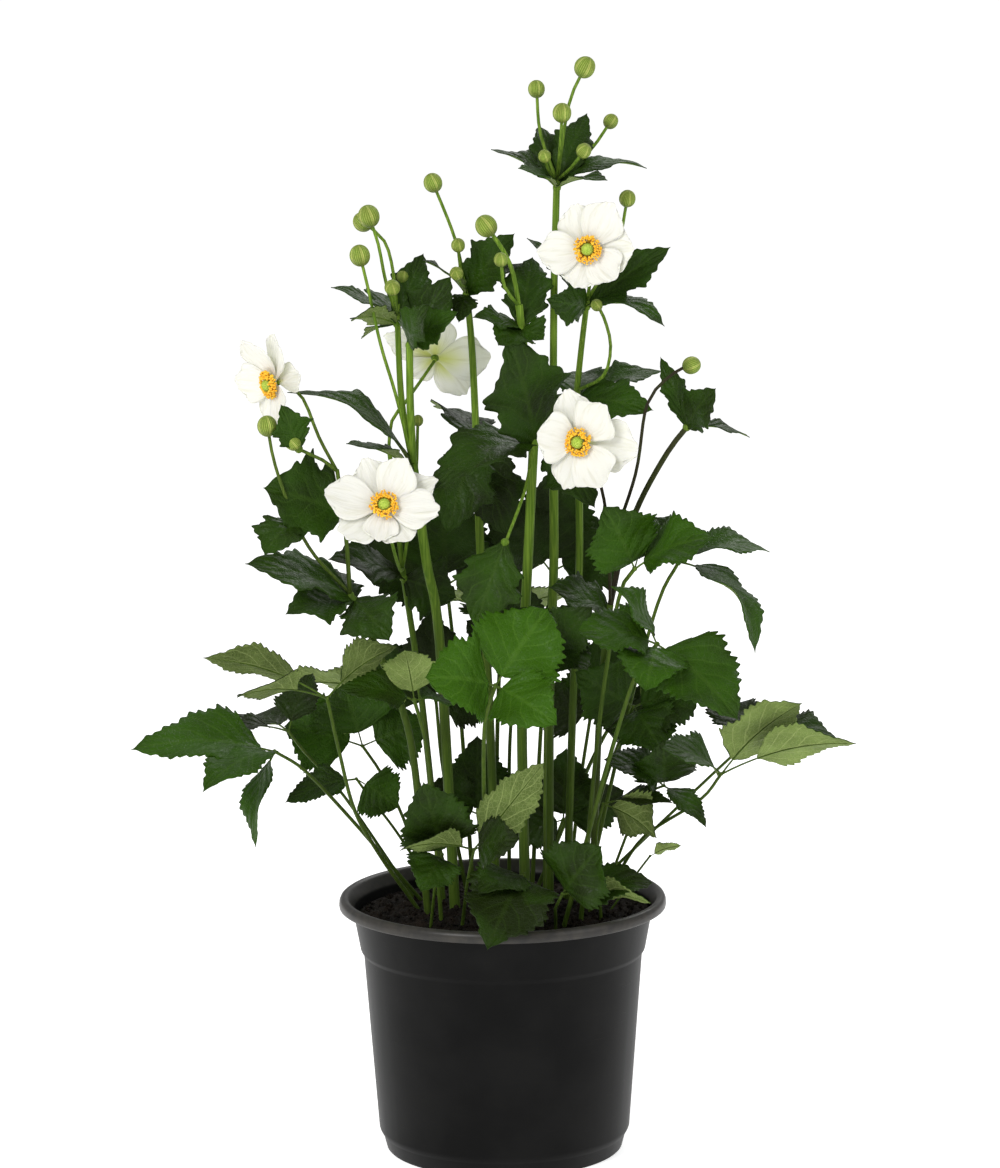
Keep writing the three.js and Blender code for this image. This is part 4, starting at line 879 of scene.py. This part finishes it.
# Mesh helpers. Every point of a piece carries its grain: for a blade how far it is off the rib
# and along, and how fresh it is, and for a stalk how dark it is.
def newSkin():
    skin = bmesh.new()
    skin.verts.layers.float_vector.new("grain")
    return skin


def finishPiece(skin, name, materials, node=None):
    for face in skin.faces:
        face.smooth = True
    mesh = meshFrom(skin, name)
    for material in materials:
        mesh.materials.append(material)
    piece = addObject(name, mesh)
    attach(piece, "root")
    if node:
        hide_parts(node)
    return piece


def placeOf(point):
    return Vector(point) * mm


def curveThrough(points, spacing):
    ends = [2 * points[0] - points[1], *points, 2 * points[-1] - points[-2]]
    line = [points[0]]
    for before, start, finish, after in zip(ends, ends[1:], ends[2:], ends[3:]):
        steps = max(2, round((finish - start).length / spacing))
        handles = (start + (finish - before) / 6, finish - (after - start) / 6)
        line.extend(interpolate_bezier(start, *handles, finish, steps + 1)[1:])
    return line


def ringEdges(ring):
    members = set(ring)
    return list({edge for vert in ring for edge in vert.link_edges if edge.other_vert(vert) in members})


def growTube(skin, line, radii, sides, dark):
    grain = skin.verts.layers.float_vector["grain"]
    ring = bmesh.ops.create_circle(skin, cap_ends=True, segments=sides, radius=1)["verts"]
    upwards = Vector((0, 0, 1))
    turn = upwards.rotation_difference(line[1] - line[0])
    before = Matrix.Identity(4)
    for i, point in enumerate(line):
        if i:
            made = bmesh.ops.extrude_edge_only(skin, edges=ringEdges(ring))["geom"]
            ring = [item for item in made if isinstance(item, bmesh.types.BMVert)]
        ahead = line[min(i + 1, len(line) - 1)] - line[max(i - 1, 0)]
        turn = (turn @ upwards).rotation_difference(ahead) @ turn
        share = i / (len(line) - 1)
        radius = radii[0] + (radii[1] - radii[0]) * share
        placed = Matrix.LocRotScale(point, turn, Vector((radius, radius, radius)))
        bmesh.ops.transform(skin, matrix=placed @ before.inverted(), verts=ring)
        for vert in ring:
            vert[grain] = (0, share, dark)
        before = placed
    bmesh.ops.contextual_create(skin, geom=ringEdges(ring))


def growKnot(skin, centre, radius, dark):
    grain = skin.verts.layers.float_vector["grain"]
    place = Matrix.Translation(centre)
    for vert in bmesh.ops.create_icosphere(skin, subdivisions=2, radius=radius, matrix=place)["verts"]:
        vert[grain] = (0, 0, dark)


# A blade's half width as a share of its widest, from its foot to its tip
leafletStations = [
    (0, 0.12), (0.07, 0.52), (0.18, 0.9), (0.3, 1), (0.4, 0.88),
    (0.52, 0.94), (0.68, 0.7), (0.85, 0.34), (1, 0),
]
bractStations = [
    (0, 0.14), (0.16, 0.46), (0.3, 0.82), (0.4, 0.72), (0.55, 1), (0.7, 0.62), (0.86, 0.32), (1, 0),
]


def shareBetween(stations, t):
    for (start, low), (finish, high) in zip(stations, stations[1:]):
        if t <= finish:
            step = (t - start) / (finish - start)
            return low + (high - low) * step * step * (3 - 2 * step)
    return stations[-1][1]


def leafletShare(t):
    return shareBetween(leafletStations, t)


def bractShare(t):
    return shareBetween(bractStations, t)


petalOutline = {"widest": 0.6, "foot": 0.16, "swell": 1.1, "tipLoss": 0.68}


def petalShare(t):
    widest = petalOutline["widest"]
    if t < widest:
        return max(petalOutline["foot"], math.sin(math.pi / 2 * t / widest) ** petalOutline["swell"])
    return math.sqrt(1 - petalOutline["tipLoss"] * ((t - widest) / (1 - widest)) ** 2)


leafForm = {
    "across": 10,
    "along": 72,
    "outline": leafletShare,
    "teeth": 14,
    "toothDepth": 0.12,
    "toothReach": 0.02,
    "toothSlant": 1.7,
    "sideShift": 0.3,
    "edgeCling": 8,
    "unevenness": 0.14,
    "tipRound": 0,
    "notches": 0,
    "fold": 0.16,
    "wave": 0.18,
    "ripples": 9,
    "pillows": 0.016,
    "creases": 0,
}
bractForm = {**leafForm, "outline": bractShare, "along": 52, "teeth": 10, "toothDepth": 0.13}
petalForm = {
    **leafForm,
    "across": 18,
    "along": 26,
    "outline": petalShare,
    "teeth": 0,
    "toothDepth": 0,
    "toothReach": 0,
    "unevenness": 0.08,
    "tipRound": 0.2,
    "notches": 0.07,
    "fold": 0.1,
    "wave": 0.04,
    "pillows": 0,
    "creases": 0.55,
}


def growBlade(sheet, joint, blade, form):
    grain = sheet.verts.layers.float_vector["grain"]
    spine = blade["tip"] - joint
    length = spine.length
    along = spine.normalized()
    side = along.cross(blade["face"]).normalized()
    normal = side.cross(along)
    neck = blade["reach"] / length
    phase = blade["phase"]
    made = bmesh.ops.create_grid(sheet, x_segments=form["across"], y_segments=form["along"], size=1)
    for vert in made["verts"]:
        s = vert.co.x
        t = (vert.co.y + 1) / 2
        sideSign = math.copysign(1, s)
        step = (t * form["teeth"] + phase + form["sideShift"] * sideSign) % 1
        tooth = math.sin(math.pi * step ** form["toothSlant"])
        edge = abs(s) ** form["edgeCling"]
        uneven = noise.noise(Vector((3 * t, 4 * sideSign, phase)))
        half = blade["width"] / 2 * form["outline"](t) * (1 + form["unevenness"] * uneven)
        across = abs(s) * half * (1 - form["toothDepth"] * edge * (1 - tooth))
        notch = form["notches"] * (0.5 + noise.noise(Vector((2.6 * s, phase, 2)))) * t ** 5
        onSpine = neck + (1 - neck) * t * (1 - form["tipRound"] * s * s * t ** 3 - notch)
        onSpine += form["toothReach"] * tooth * edge * (1 - t)
        ripple = form["wave"] * across * math.sin(form["ripples"] * onSpine + phase + s)
        rise = blade["arch"] * length * 4 * onSpine * (1 - onSpine) + form["fold"] * across + ripple
        veinStep = t * leafVeins["Side Veins"] - leafVeins["Slant"] * abs(s)
        rise += form["pillows"] * half * abs(math.sin(math.pi * veinStep)) * (1 - edge)
        rise += form["creases"] * mm * t * math.sin(9 * s + phase) * math.sin(4 * s - 2 * phase)
        point = along * (onSpine * length) + side * math.copysign(across, s) + normal * rise
        vert.co = joint + point
        vert[grain] = (s, t, blade["bright"])


def closeSheet(sheet):
    bmesh.ops.remove_doubles(sheet, verts=sheet.verts, dist=0.02 * mm)
    bmesh.ops.dissolve_degenerate(sheet, edges=sheet.edges, dist=0.01 * mm)


def thicken(piece, thickness):
    solidify = piece.modifiers.new("thickness", "SOLIDIFY")
    solidify.thickness = thickness * mm
    solidify.offset = 0
    solidify.material_offset = 1


leafGrowth = {
    "thickness": 0.5,
    "breadth": 1.15,
    "arch": 0.08,
    "phaseStep": 2.4,
    "brightSpread": 0.1,
    "ribRadius": 0.62,
    "ribTip": 0.16,
    "ribEnd": 0.94,
    "ribDrop": 0.25,
    "ribSteps": 12,
    "fullRibLength": 45,
    "stalkTaper": (1.08, 0.85),
    "stalkDark": 0.12,
    "knot": 1.15,
}
chance = random.Random(11)


def bladesFrom(joint, listed, bright):
    blades = []
    for i, (tip, width, face, *rest) in enumerate(listed):
        reach, arch = rest if len(rest) == 2 else (*rest, leafGrowth["arch"])
        blades.append({
            "tip": placeOf(tip),
            "width": width * leafGrowth["breadth"] * mm,
            "face": Vector(face),
            "reach": reach * mm,
            "arch": arch,
            "phase": leafGrowth["phaseStep"] * i + joint.x / mm,
            "bright": bright + chance.uniform(-1, 1) * leafGrowth["brightSpread"],
        })
    return blades


# The rib under each blade, a thin stalk that follows its arch
def growRibs(skin, joint, blades, dark):
    for blade in blades:
        spine = blade["tip"] - joint
        along = spine.normalized()
        normal = along.cross(blade["face"]).normalized().cross(along)
        line = []
        for i in range(leafGrowth["ribSteps"] + 1):
            t = leafGrowth["ribEnd"] * i / leafGrowth["ribSteps"]
            rise = blade["arch"] * spine.length * 4 * t * (1 - t) - leafGrowth["ribDrop"] * mm
            line.append(joint + spine * t + normal * rise)
        thick = leafGrowth["ribRadius"] * mm * min(1, spine.length / (leafGrowth["fullRibLength"] * mm))
        growTube(skin, line, (thick, leafGrowth["ribTip"] * mm), 6, dark)


rooting = {"depth": 126, "surfacing": 152, "spacing": 7}


def stalkLine(plantPart):
    upper = [placeOf(point) for point in plantPart["stalk"]]
    surfacing = placeOf((*plantPart["root"], rooting["surfacing"]))
    lean = upper[0] - surfacing
    lean /= lean.z
    foot = surfacing + lean * (rooting["depth"] - rooting["surfacing"]) * mm
    return curveThrough([foot, surfacing, *upper], rooting["spacing"] * mm)


def makeLeaf(name, leaf):
    line = stalkLine(leaf)
    fork = line[-1]
    blades = bladesFrom(fork, leaf["leaflets"], leaf["bright"])
    stalk = newSkin()
    dark = leafGrowth["stalkDark"]
    growTube(stalk, line, [share * leaf["radius"] * mm for share in leafGrowth["stalkTaper"]], 10, dark)
    growKnot(stalk, fork, leafGrowth["knot"] * leaf["radius"] * mm, dark)
    growRibs(stalk, fork, blades, dark)
    bmesh.ops.recalc_face_normals(stalk, faces=stalk.faces)
    finishPiece(stalk, name + "_stalk", [stemSkin], name)
    sheet = newSkin()
    for blade in blades:
        growBlade(sheet, fork, blade, leafForm)
    closeSheet(sheet)
    piece = finishPiece(sheet, name + "_blades", [leafUpper, leafUnder], name)
    thicken(piece, leafGrowth["thickness"])


for leafName, leafPlan in basalLeaves.items():
    makeLeaf(leafName, leafPlan)
print("leaves grown:", len(basalLeaves))

# Buds: a globe of sepals with shallow seams between them, standing on its pedicel
budForm = {"around": 30, "up": 14, "seam": 0.07, "stretch": 1.06}
stemGrowth = {
    "mainTaper": (1.08, 0.94),
    "mainShade": 0.4,
    "shootTaper": (1.05, 0.92),
    "shootShade": 0.5,
    "pedicel": 1,
    "pedicelBelow": 1.8,
    "knot": 2.5,
    "ribDark": 0.1,
    "flowerBase": (-6, -1.2),
    "flowerBaseRadius": 2.6,
}


def growBud(skin, centre, radius, axis):
    grain = skin.verts.layers.float_vector["grain"]
    around, high = budForm["around"], budForm["up"]
    made = bmesh.ops.create_uvsphere(skin, u_segments=around, v_segments=high, radius=1)
    turn = Vector((0, 0, 1)).rotation_difference(axis)
    for vert in made["verts"]:
        local = vert.co.copy()
        azimuth = math.atan2(local.y, local.x)
        seam = budForm["seam"] * (1 - abs(math.sin(azimuth * budFinish["sepals"] / 2))) ** 3
        flat = 1 - seam * (1 - local.z ** 2)
        shaped = Vector((local.x * flat, local.y * flat, local.z * budForm["stretch"]))
        vert.co = centre + turn @ (shaped * radius)
        vert[grain] = local


def bloomFrame(bloom):
    axis = Vector(bloom["axis"]).normalized()
    side = Vector((0, 0, 1)).cross(axis).normalized()
    return axis, side, axis.cross(side), placeOf(bloom["centre"])


def makeStem(name, stem):
    shoots, buds, bracts = newSkin(), newSkin(), newSkin()
    dark = stem["dark"]
    mainShade = dark * stemGrowth["mainShade"]
    mainRadii = [share * (stem["radius"] * mm) for share in stemGrowth["mainTaper"]]
    growTube(shoots, stalkLine(stem), mainRadii, 12, mainShade)
    low, high = stemGrowth["flowerBase"]
    for shoot in stem["shoots"]:
        points = [placeOf(point) for point in shoot["path"]]
        if "bloom" in shoot:
            axis, _, _, centre = bloomFrame(blooms[shoot["bloom"]])
            points.append(centre + axis * low * mm)
        line = curveThrough(points, rooting["spacing"] * mm)
        radius = shoot.get("radius", stemGrowth["pedicel"]) * mm
        isPedicel = radius < stemGrowth["pedicelBelow"] * mm
        shade = dark if isPedicel else dark * stemGrowth["shootShade"]
        growTube(shoots, line, [share * radius for share in stemGrowth["shootTaper"]], 10, shade)
        if "bloom" in shoot:
            radii = (radius, stemGrowth["flowerBaseRadius"] * mm)
            growTube(shoots, [line[-1], centre + axis * high * mm], radii, 12, 0)
        if "bud" in shoot:
            growBud(buds, points[-1], shoot["bud"] * mm, (line[-1] - line[-3]).normalized())
    for at, listed in stem["whorls"]:
        joint = placeOf(at)
        stalkless = [(tip, width, face, 0, *arch) for tip, width, face, *arch in listed]
        blades = bladesFrom(joint, stalkless, stem["bright"])
        growKnot(shoots, joint, stemGrowth["knot"] * mm, mainShade)
        growRibs(shoots, joint, blades, stemGrowth["ribDark"])
        for blade in blades:
            growBlade(bracts, joint, blade, bractForm)
    bmesh.ops.recalc_face_normals(shoots, faces=shoots.faces)
    finishPiece(shoots, name + "_shoots", [stemSkin], name)
    bmesh.ops.recalc_face_normals(buds, faces=buds.faces)
    if buds.verts:
        finishPiece(buds, name + "_buds", [budSkin], name)
    closeSheet(bracts)
    piece = finishPiece(bracts, name + "_bracts", [leafUpper, leafUnder], name)
    thicken(piece, leafGrowth["thickness"])


for stemName, stemPlan in leafyStems.items():
    makeStem(stemName, stemPlan)
print("stems grown:", len(leafyStems))

# Blooms: petals in two layers, a crown of stamens and a ball of carpels
bloomForm = {
    "depths": (-1.8, -0.2),
    "upperLean": 7,
    "arch": -0.05,
    "thickness": 0.4,
    "carpelHeight": 4.6,
    "carpelRadius": 3.1,
    "carpelPin": (1.2, 1.6),
    "carpelTips": 110,
    "carpelTip": (0.34, 0.12),
    "carpelTipLength": 0.7,
    "stamens": 170,
    "stamenFoot": (3.3, 2.0),
    "stamenReach": (4.1, 8.2),
    "stamenHeight": (2.8, 5.6),
    "filament": 0.19,
    "anther": 0.66,
    "antherStretch": 1.5,
}
goldenTurn = math.pi * (3 - math.sqrt(5))


def makePetals(name, bloom):
    axis, side, top, centre = bloomFrame(bloom)
    sheet = newSkin()
    for i, (turnDegrees, length, width, leanDegrees) in enumerate(bloom["petals"]):
        layer = i % 2
        turn = math.radians(turnDegrees)
        lean = math.radians(leanDegrees + layer * bloomForm["upperLean"])
        joint = centre + axis * bloomForm["depths"][layer] * mm
        outward = side * math.cos(turn) + top * math.sin(turn)
        tip = joint + (outward * math.cos(lean) + axis * math.sin(lean)) * length * mm
        petal = {"tip": tip, "width": width * mm, "face": axis, "reach": 0,
                 "arch": bloomForm["arch"], "phase": turn, "bright": i * 0.37}
        growBlade(sheet, joint, petal, petalForm)
    piece = finishPiece(sheet, name + "_corolla", [petalFace, petalBack], name + "_petals")
    thicken(piece, bloomForm["thickness"])


def stood(start, finish):
    turn = Vector((0, 0, 1)).rotation_difference(finish - start)
    return Matrix.LocRotScale((start + finish) / 2, turn, Vector((1, 1, 1)))


def makeHeart(name, bloom):
    axis, side, top, centre = bloomFrame(bloom)

    def onBloom(radius, height, turn):
        outward = side * math.cos(turn) + top * math.sin(turn)
        return centre + (outward * radius + axis * height) * mm

    crown = newSkin()
    near, far = bloomForm["stamenReach"]
    low, high = bloomForm["stamenHeight"]
    thick = bloomForm["filament"]
    longer = Matrix.Diagonal((1, 1, bloomForm["antherStretch"], 1))
    for i in range(bloomForm["stamens"]):
        turn = i * goldenTurn
        share = chance.random()
        height = high - share * (high - low) * chance.uniform(0.5, 1)
        foot = onBloom(*bloomForm["stamenFoot"], turn)
        tip = onBloom(near + share * (far - near), height, turn + chance.uniform(-0.1, 0.1))
        bmesh.ops.create_cone(crown, segments=4, radius1=thick * mm, radius2=thick * 0.7 * mm,
                              depth=(tip - foot).length, cap_ends=True, matrix=stood(foot, tip))
        bmesh.ops.create_icosphere(crown, subdivisions=1, radius=bloomForm["anther"] * mm,
                                   matrix=stood(tip, tip + axis * mm) @ longer)
    bmesh.ops.recalc_face_normals(crown, faces=crown.faces)
    finishPiece(crown, name + "_anthers", [stamenGold], name + "_stamens")

    ball = newSkin()
    heart = centre + axis * bloomForm["carpelHeight"] * mm
    radius = bloomForm["carpelRadius"] * mm
    place = Matrix.Translation(heart)
    bmesh.ops.create_uvsphere(ball, u_segments=20, v_segments=12, radius=radius, matrix=place)
    pinFoot = centre + axis * stemGrowth["flowerBase"][0] * mm
    growTube(ball, [pinFoot, heart], [thin * mm for thin in bloomForm["carpelPin"]], 10, 0)
    tilt = Vector((0, 0, 1)).rotation_difference(axis)
    wide, narrow = bloomForm["carpelTip"]
    for i in range(bloomForm["carpelTips"]):
        turn = i * goldenTurn
        height = 1 - 1.5 * (i + 0.5) / bloomForm["carpelTips"]
        ring = math.sqrt(1 - height * height)
        outward = tilt @ Vector((ring * math.cos(turn), ring * math.sin(turn), height))
        foot = heart + outward * radius * 0.95
        bmesh.ops.create_cone(ball, segments=5, radius1=wide * mm, radius2=narrow * mm,
                              depth=bloomForm["carpelTipLength"] * mm, cap_ends=True,
                              matrix=stood(foot, foot + outward * 0.6 * mm))
    bmesh.ops.recalc_face_normals(ball, faces=ball.faces)
    finishPiece(ball, name + "_carpels", [carpelGreen])


for bloomName, bloomPlan in blooms.items():
    makePetals(bloomName, bloomPlan)
    makeHeart(bloomName, bloomPlan)
print("blooms opened:", len(blooms))

# Pot: a turned wall with a rolled rim, a collar below it and a small foot, six holes beneath
potForm = {
    "height": 150,
    "rimRadius": 95,
    "rimDepth": 6.5,
    "rimBand": 5.5,
    "collarTop": 87.4,
    "collarBottom": 82.8,
    "collarZ": 119,
    "bodyTop": 81,
    "bodyBottom": 73,
    "footZ": 9,
    "footTop": 70.8,
    "footBottom": 68.8,
    "wall": 1.6,
    "floor": 2.4,
    "steps": 120,
    "holes": 6,
    "holeRadius": 4.5,
    "holeRing": 50,
    "holeDepth": 12,
}


def turnProfile(skin, profile, steps):
    verts = [skin.verts.new((radius * mm, 0, z * mm)) for radius, z in profile]
    edges = [skin.edges.new(pair) for pair in zip(verts, verts[1:])]
    bmesh.ops.spin(skin, geom=verts + edges, angle=2 * math.pi, steps=steps, axis=(0, 0, 1),
                   cent=(0, 0, 0), use_merge=True)
    bmesh.ops.remove_doubles(skin, verts=skin.verts, dist=0.001 * mm)
    bmesh.ops.recalc_face_normals(skin, faces=skin.faces)


def makePot():
    lip = potForm["height"] - potForm["rimDepth"]
    rim = potForm["rimRadius"]
    rimInner = rim - potForm["rimBand"]
    wall = potForm["wall"]
    collarZ = potForm["collarZ"]
    footZ = potForm["footZ"]
    profile = [
        (0, 0),
        (potForm["footBottom"] - 0.8, 0),
        (potForm["footBottom"], 0.8),
        (potForm["footTop"], footZ - 0.6),
        (potForm["footTop"] + 0.5, footZ),
        (potForm["bodyBottom"] - 0.3, footZ + 2.6),
        (potForm["bodyBottom"] + 0.1, footZ + 4),
        (potForm["bodyTop"] - 0.1, collarZ - 3),
        (potForm["bodyTop"] + 0.2, collarZ - 2),
        (potForm["collarBottom"] - 0.3, collarZ - 0.4),
        (potForm["collarBottom"] + 0.1, collarZ + 0.8),
        (potForm["collarTop"] - 0.4, lip - 1.4),
        (potForm["collarTop"] + 0.4, lip),
        (rim - 1, lip),
        (rim - 0.2, lip + 0.5),
        (rim, lip + 1.6),
        (rim - 0.2, potForm["height"] - 2.6),
        (rim - 0.9, potForm["height"] - 1),
        (rim - 2.2, potForm["height"] - 0.1),
        (rim - 3.6, potForm["height"]),
        (rimInner + 0.6, potForm["height"] - 0.5),
        (rimInner - 0.4, potForm["height"] - 1.8),
        (potForm["collarTop"] - wall + 0.4, lip - 0.4),
        (potForm["collarTop"] - wall, lip - 2),
        (potForm["collarBottom"] - wall, collarZ + 1),
        (potForm["bodyTop"] - wall, collarZ - 3),
        (potForm["bodyBottom"] - wall, footZ + 4),
        (potForm["footTop"] - wall - 1.4, potForm["floor"]),
        (0, potForm["floor"]),
    ]
    skin = newSkin()
    turnProfile(skin, profile, potForm["steps"])
    piece = finishPiece(skin, "pot_shell", [potPlastic], "pot")

    drills = newSkin()
    for i in range(potForm["holes"]):
        angle = (i + 0.5) * 2 * math.pi / potForm["holes"]
        place = (potForm["holeRing"] * mm * math.cos(angle), potForm["holeRing"] * mm * math.sin(angle), 0)
        bmesh.ops.create_cone(drills, segments=28, radius1=potForm["holeRadius"] * mm,
                              radius2=potForm["holeRadius"] * mm, depth=potForm["holeDepth"] * mm,
                              cap_ends=True, matrix=Matrix.Translation(place))
    drill = addObject("drills", meshFrom(drills, "drills"))
    cut = piece.modifiers.new("holes", "BOOLEAN")
    cut.object = drill
    cut.operation = "DIFFERENCE"
    cut.solver = "EXACT"
    graph = bpy.context.evaluated_depsgraph_get()
    holed = bpy.data.meshes.new_from_object(piece.evaluated_get(graph))
    piece.modifiers.clear()
    piece.data = holed
    bpy.data.objects.remove(drill)


makePot()
print("pot turned")

# Soil: crowned, lumpy, with crumbs lying on it
soilForm = {
    "edgeZ": 138,
    "edgeRadius": 84.1,
    "crown": 6,
    "rings": [(60, 0.4), (32, 0.85), (0, 1)],
    "lump": 1.2,
    "lumpLength": 21,
    "grit": 1.5,
    "steps": 110,
    "ringSteps": 44,
    "crumbs": 1500,
    "crumbSize": (0.5, 2.1),
    "crumbDent": 0.14,
    "fibres": 60,
    "fibreLength": (3, 9),
}


def soilHeight(x, y):
    radius = math.hypot(x, y)
    edge = [(soilForm["edgeRadius"], 0), *soilForm["rings"]]
    height = soilForm["crown"]
    for (outer, low), (inner, high) in zip(edge, edge[1:]):
        if inner <= radius <= outer:
            height = soilForm["crown"] * (low + (high - low) * (outer - radius) / (outer - inner))
    wave = 2 * math.pi / soilForm["lumpLength"]
    fading = min(1, max(0, (soilForm["edgeRadius"] - radius) / 8))
    height += soilForm["lump"] * math.sin(wave * x) * math.cos(wave * y) * fading
    grit = noise.fractal(Vector((x, y, 0)) * 0.16, 0.7, 2.1, 5)
    return soilForm["edgeZ"] + height + soilForm["grit"] * grit * (0.3 + 0.7 * fading)


def scattered(dice, reach):
    radius = reach * math.sqrt(dice.random())
    turn = dice.uniform(0, 2 * math.pi)
    return radius * math.cos(turn), radius * math.sin(turn)


def makeSoil():
    inset = potForm["wall"] + 0.5
    rings = soilForm["ringSteps"]
    profile = [
        (0, potForm["floor"] + 0.5),
        (potForm["footTop"] - inset - 2.6, potForm["floor"] + 0.5),
        (potForm["bodyBottom"] - inset - 0.3, potForm["footZ"] + 6),
        (potForm["bodyTop"] - inset - 0.3, potForm["collarZ"] - 5),
        (potForm["bodyTop"] - inset + 0.6, potForm["collarZ"] + 2),
    ]
    profile += [(soilForm["edgeRadius"] * (1 - i / rings), soilForm["edgeZ"]) for i in range(rings + 1)]
    skin = newSkin()
    turnProfile(skin, profile, soilForm["steps"])
    for vert in skin.verts:
        if vert.co.z > (soilForm["edgeZ"] - 1) * mm:
            vert.co.z = soilHeight(vert.co.x / mm, vert.co.y / mm) * mm
    finishPiece(skin, "soil_bed", [soilSkin], "soil")

    crumbs = newSkin()
    dice = random.Random(5)
    dent = soilForm["crumbDent"]
    for _ in range(soilForm["crumbs"]):
        x, y = scattered(dice, soilForm["edgeRadius"] - 2)
        size = dice.uniform(*soilForm["crumbSize"]) * dice.uniform(0.5, 1)
        stretch = Vector([size * dice.uniform(0.6, 1.3) * mm for _ in range(3)])
        tumble = Matrix.Rotation(dice.uniform(0, 6.28), 4, Vector((dice.random(), dice.random(), 0.3)))
        lying = placeOf((x, y, soilHeight(x, y) + 0.2 * size))
        place = Matrix.LocRotScale(lying, tumble.to_quaternion(), stretch)
        made = bmesh.ops.create_icosphere(crumbs, subdivisions=1, radius=1, matrix=place)["verts"]
        for vert in made:
            vert.co += Vector([dice.uniform(-dent, dent) * size * mm for _ in range(3)])
    for _ in range(soilForm["fibres"]):
        x, y = scattered(dice, soilForm["edgeRadius"] - 12)
        heading = dice.uniform(0, 2 * math.pi)
        reach = dice.uniform(*soilForm["fibreLength"])
        line = []
        for share in (0, 0.5, 1):
            atX = x + reach * share * math.cos(heading + share)
            atY = y + reach * share * math.sin(heading + share)
            line.append(placeOf((atX, atY, soilHeight(atX, atY) + 0.5 + 0.8 * math.sin(3 * share))))
        growTube(crumbs, line, (0.25 * mm, 0.12 * mm), 4, 0)
    bmesh.ops.recalc_face_normals(crumbs, faces=crumbs.faces)
    finishPiece(crumbs, "soil_crumbs", [soilSkin])


makeSoil()
print("soil filled")

# Studio: a pale floor that runs to the backdrop, soft lights from the front and both sides
studio = {
    "floor": (0.86, 0.86, 0.86),
    "floorGlow": 0.67,
    "floorReach": 60,
    "backdrop": 1.0,
    "daylight": 0.42,
    "aim": (0, 0, 0.3),
    "key": {"place": (-1.3, -1.9, 1.9), "size": 1.1, "power": 43},
    "fill": {"place": (1.8, -1.2, 1.2), "size": 1.5, "power": 12},
    "rimLight": {"place": (0.6, 1.6, 1.7), "size": 1.2, "power": 14},
}


def makeStudio():
    world = bpy.data.worlds.new("studio_world")
    world.use_nodes = True
    sky = world.node_tree
    sky.nodes["Background"].inputs["Color"].default_value = (1, 1, 1, 1)
    seen = addNode(sky, "ShaderNodeLightPath").outputs["Is Camera Ray"]
    extra = studio["backdrop"] - studio["daylight"]
    strength = mathNode(sky, "MULTIPLY_ADD", seen, extra, studio["daylight"])
    sky.links.new(strength, sky.nodes["Background"].inputs["Strength"])
    scene.world = world
    scene.view_settings.view_transform = "Standard"
    skin = bmesh.new()
    bmesh.ops.create_grid(skin, x_segments=1, y_segments=1, size=studio["floorReach"])
    floor = addObject("floor", meshFrom(skin, "floor"))
    material, _, shader = newMaterial("floor_pale")
    shader.inputs["Base Color"].default_value = (*studio["floor"], 1)
    shader.inputs["Roughness"].default_value = 0.9
    shader.inputs["Emission Color"].default_value = (1, 1, 1, 1)
    shader.inputs["Emission Strength"].default_value = studio["floorGlow"]
    floor.data.materials.append(material)
    aim = Vector(studio["aim"])
    for name in ("key", "fill", "rimLight"):
        plan = studio[name]
        data = bpy.data.lights.new(name, "AREA")
        data.energy = plan["power"]
        data.size = plan["size"]
        lamp = addObject(name, data)
        lamp.location = plan["place"]
        lamp.rotation_mode = "QUATERNION"
        lamp.rotation_quaternion = (aim - lamp.location).to_track_quat("-Z", "Y")


makeStudio()
print("studio lit")
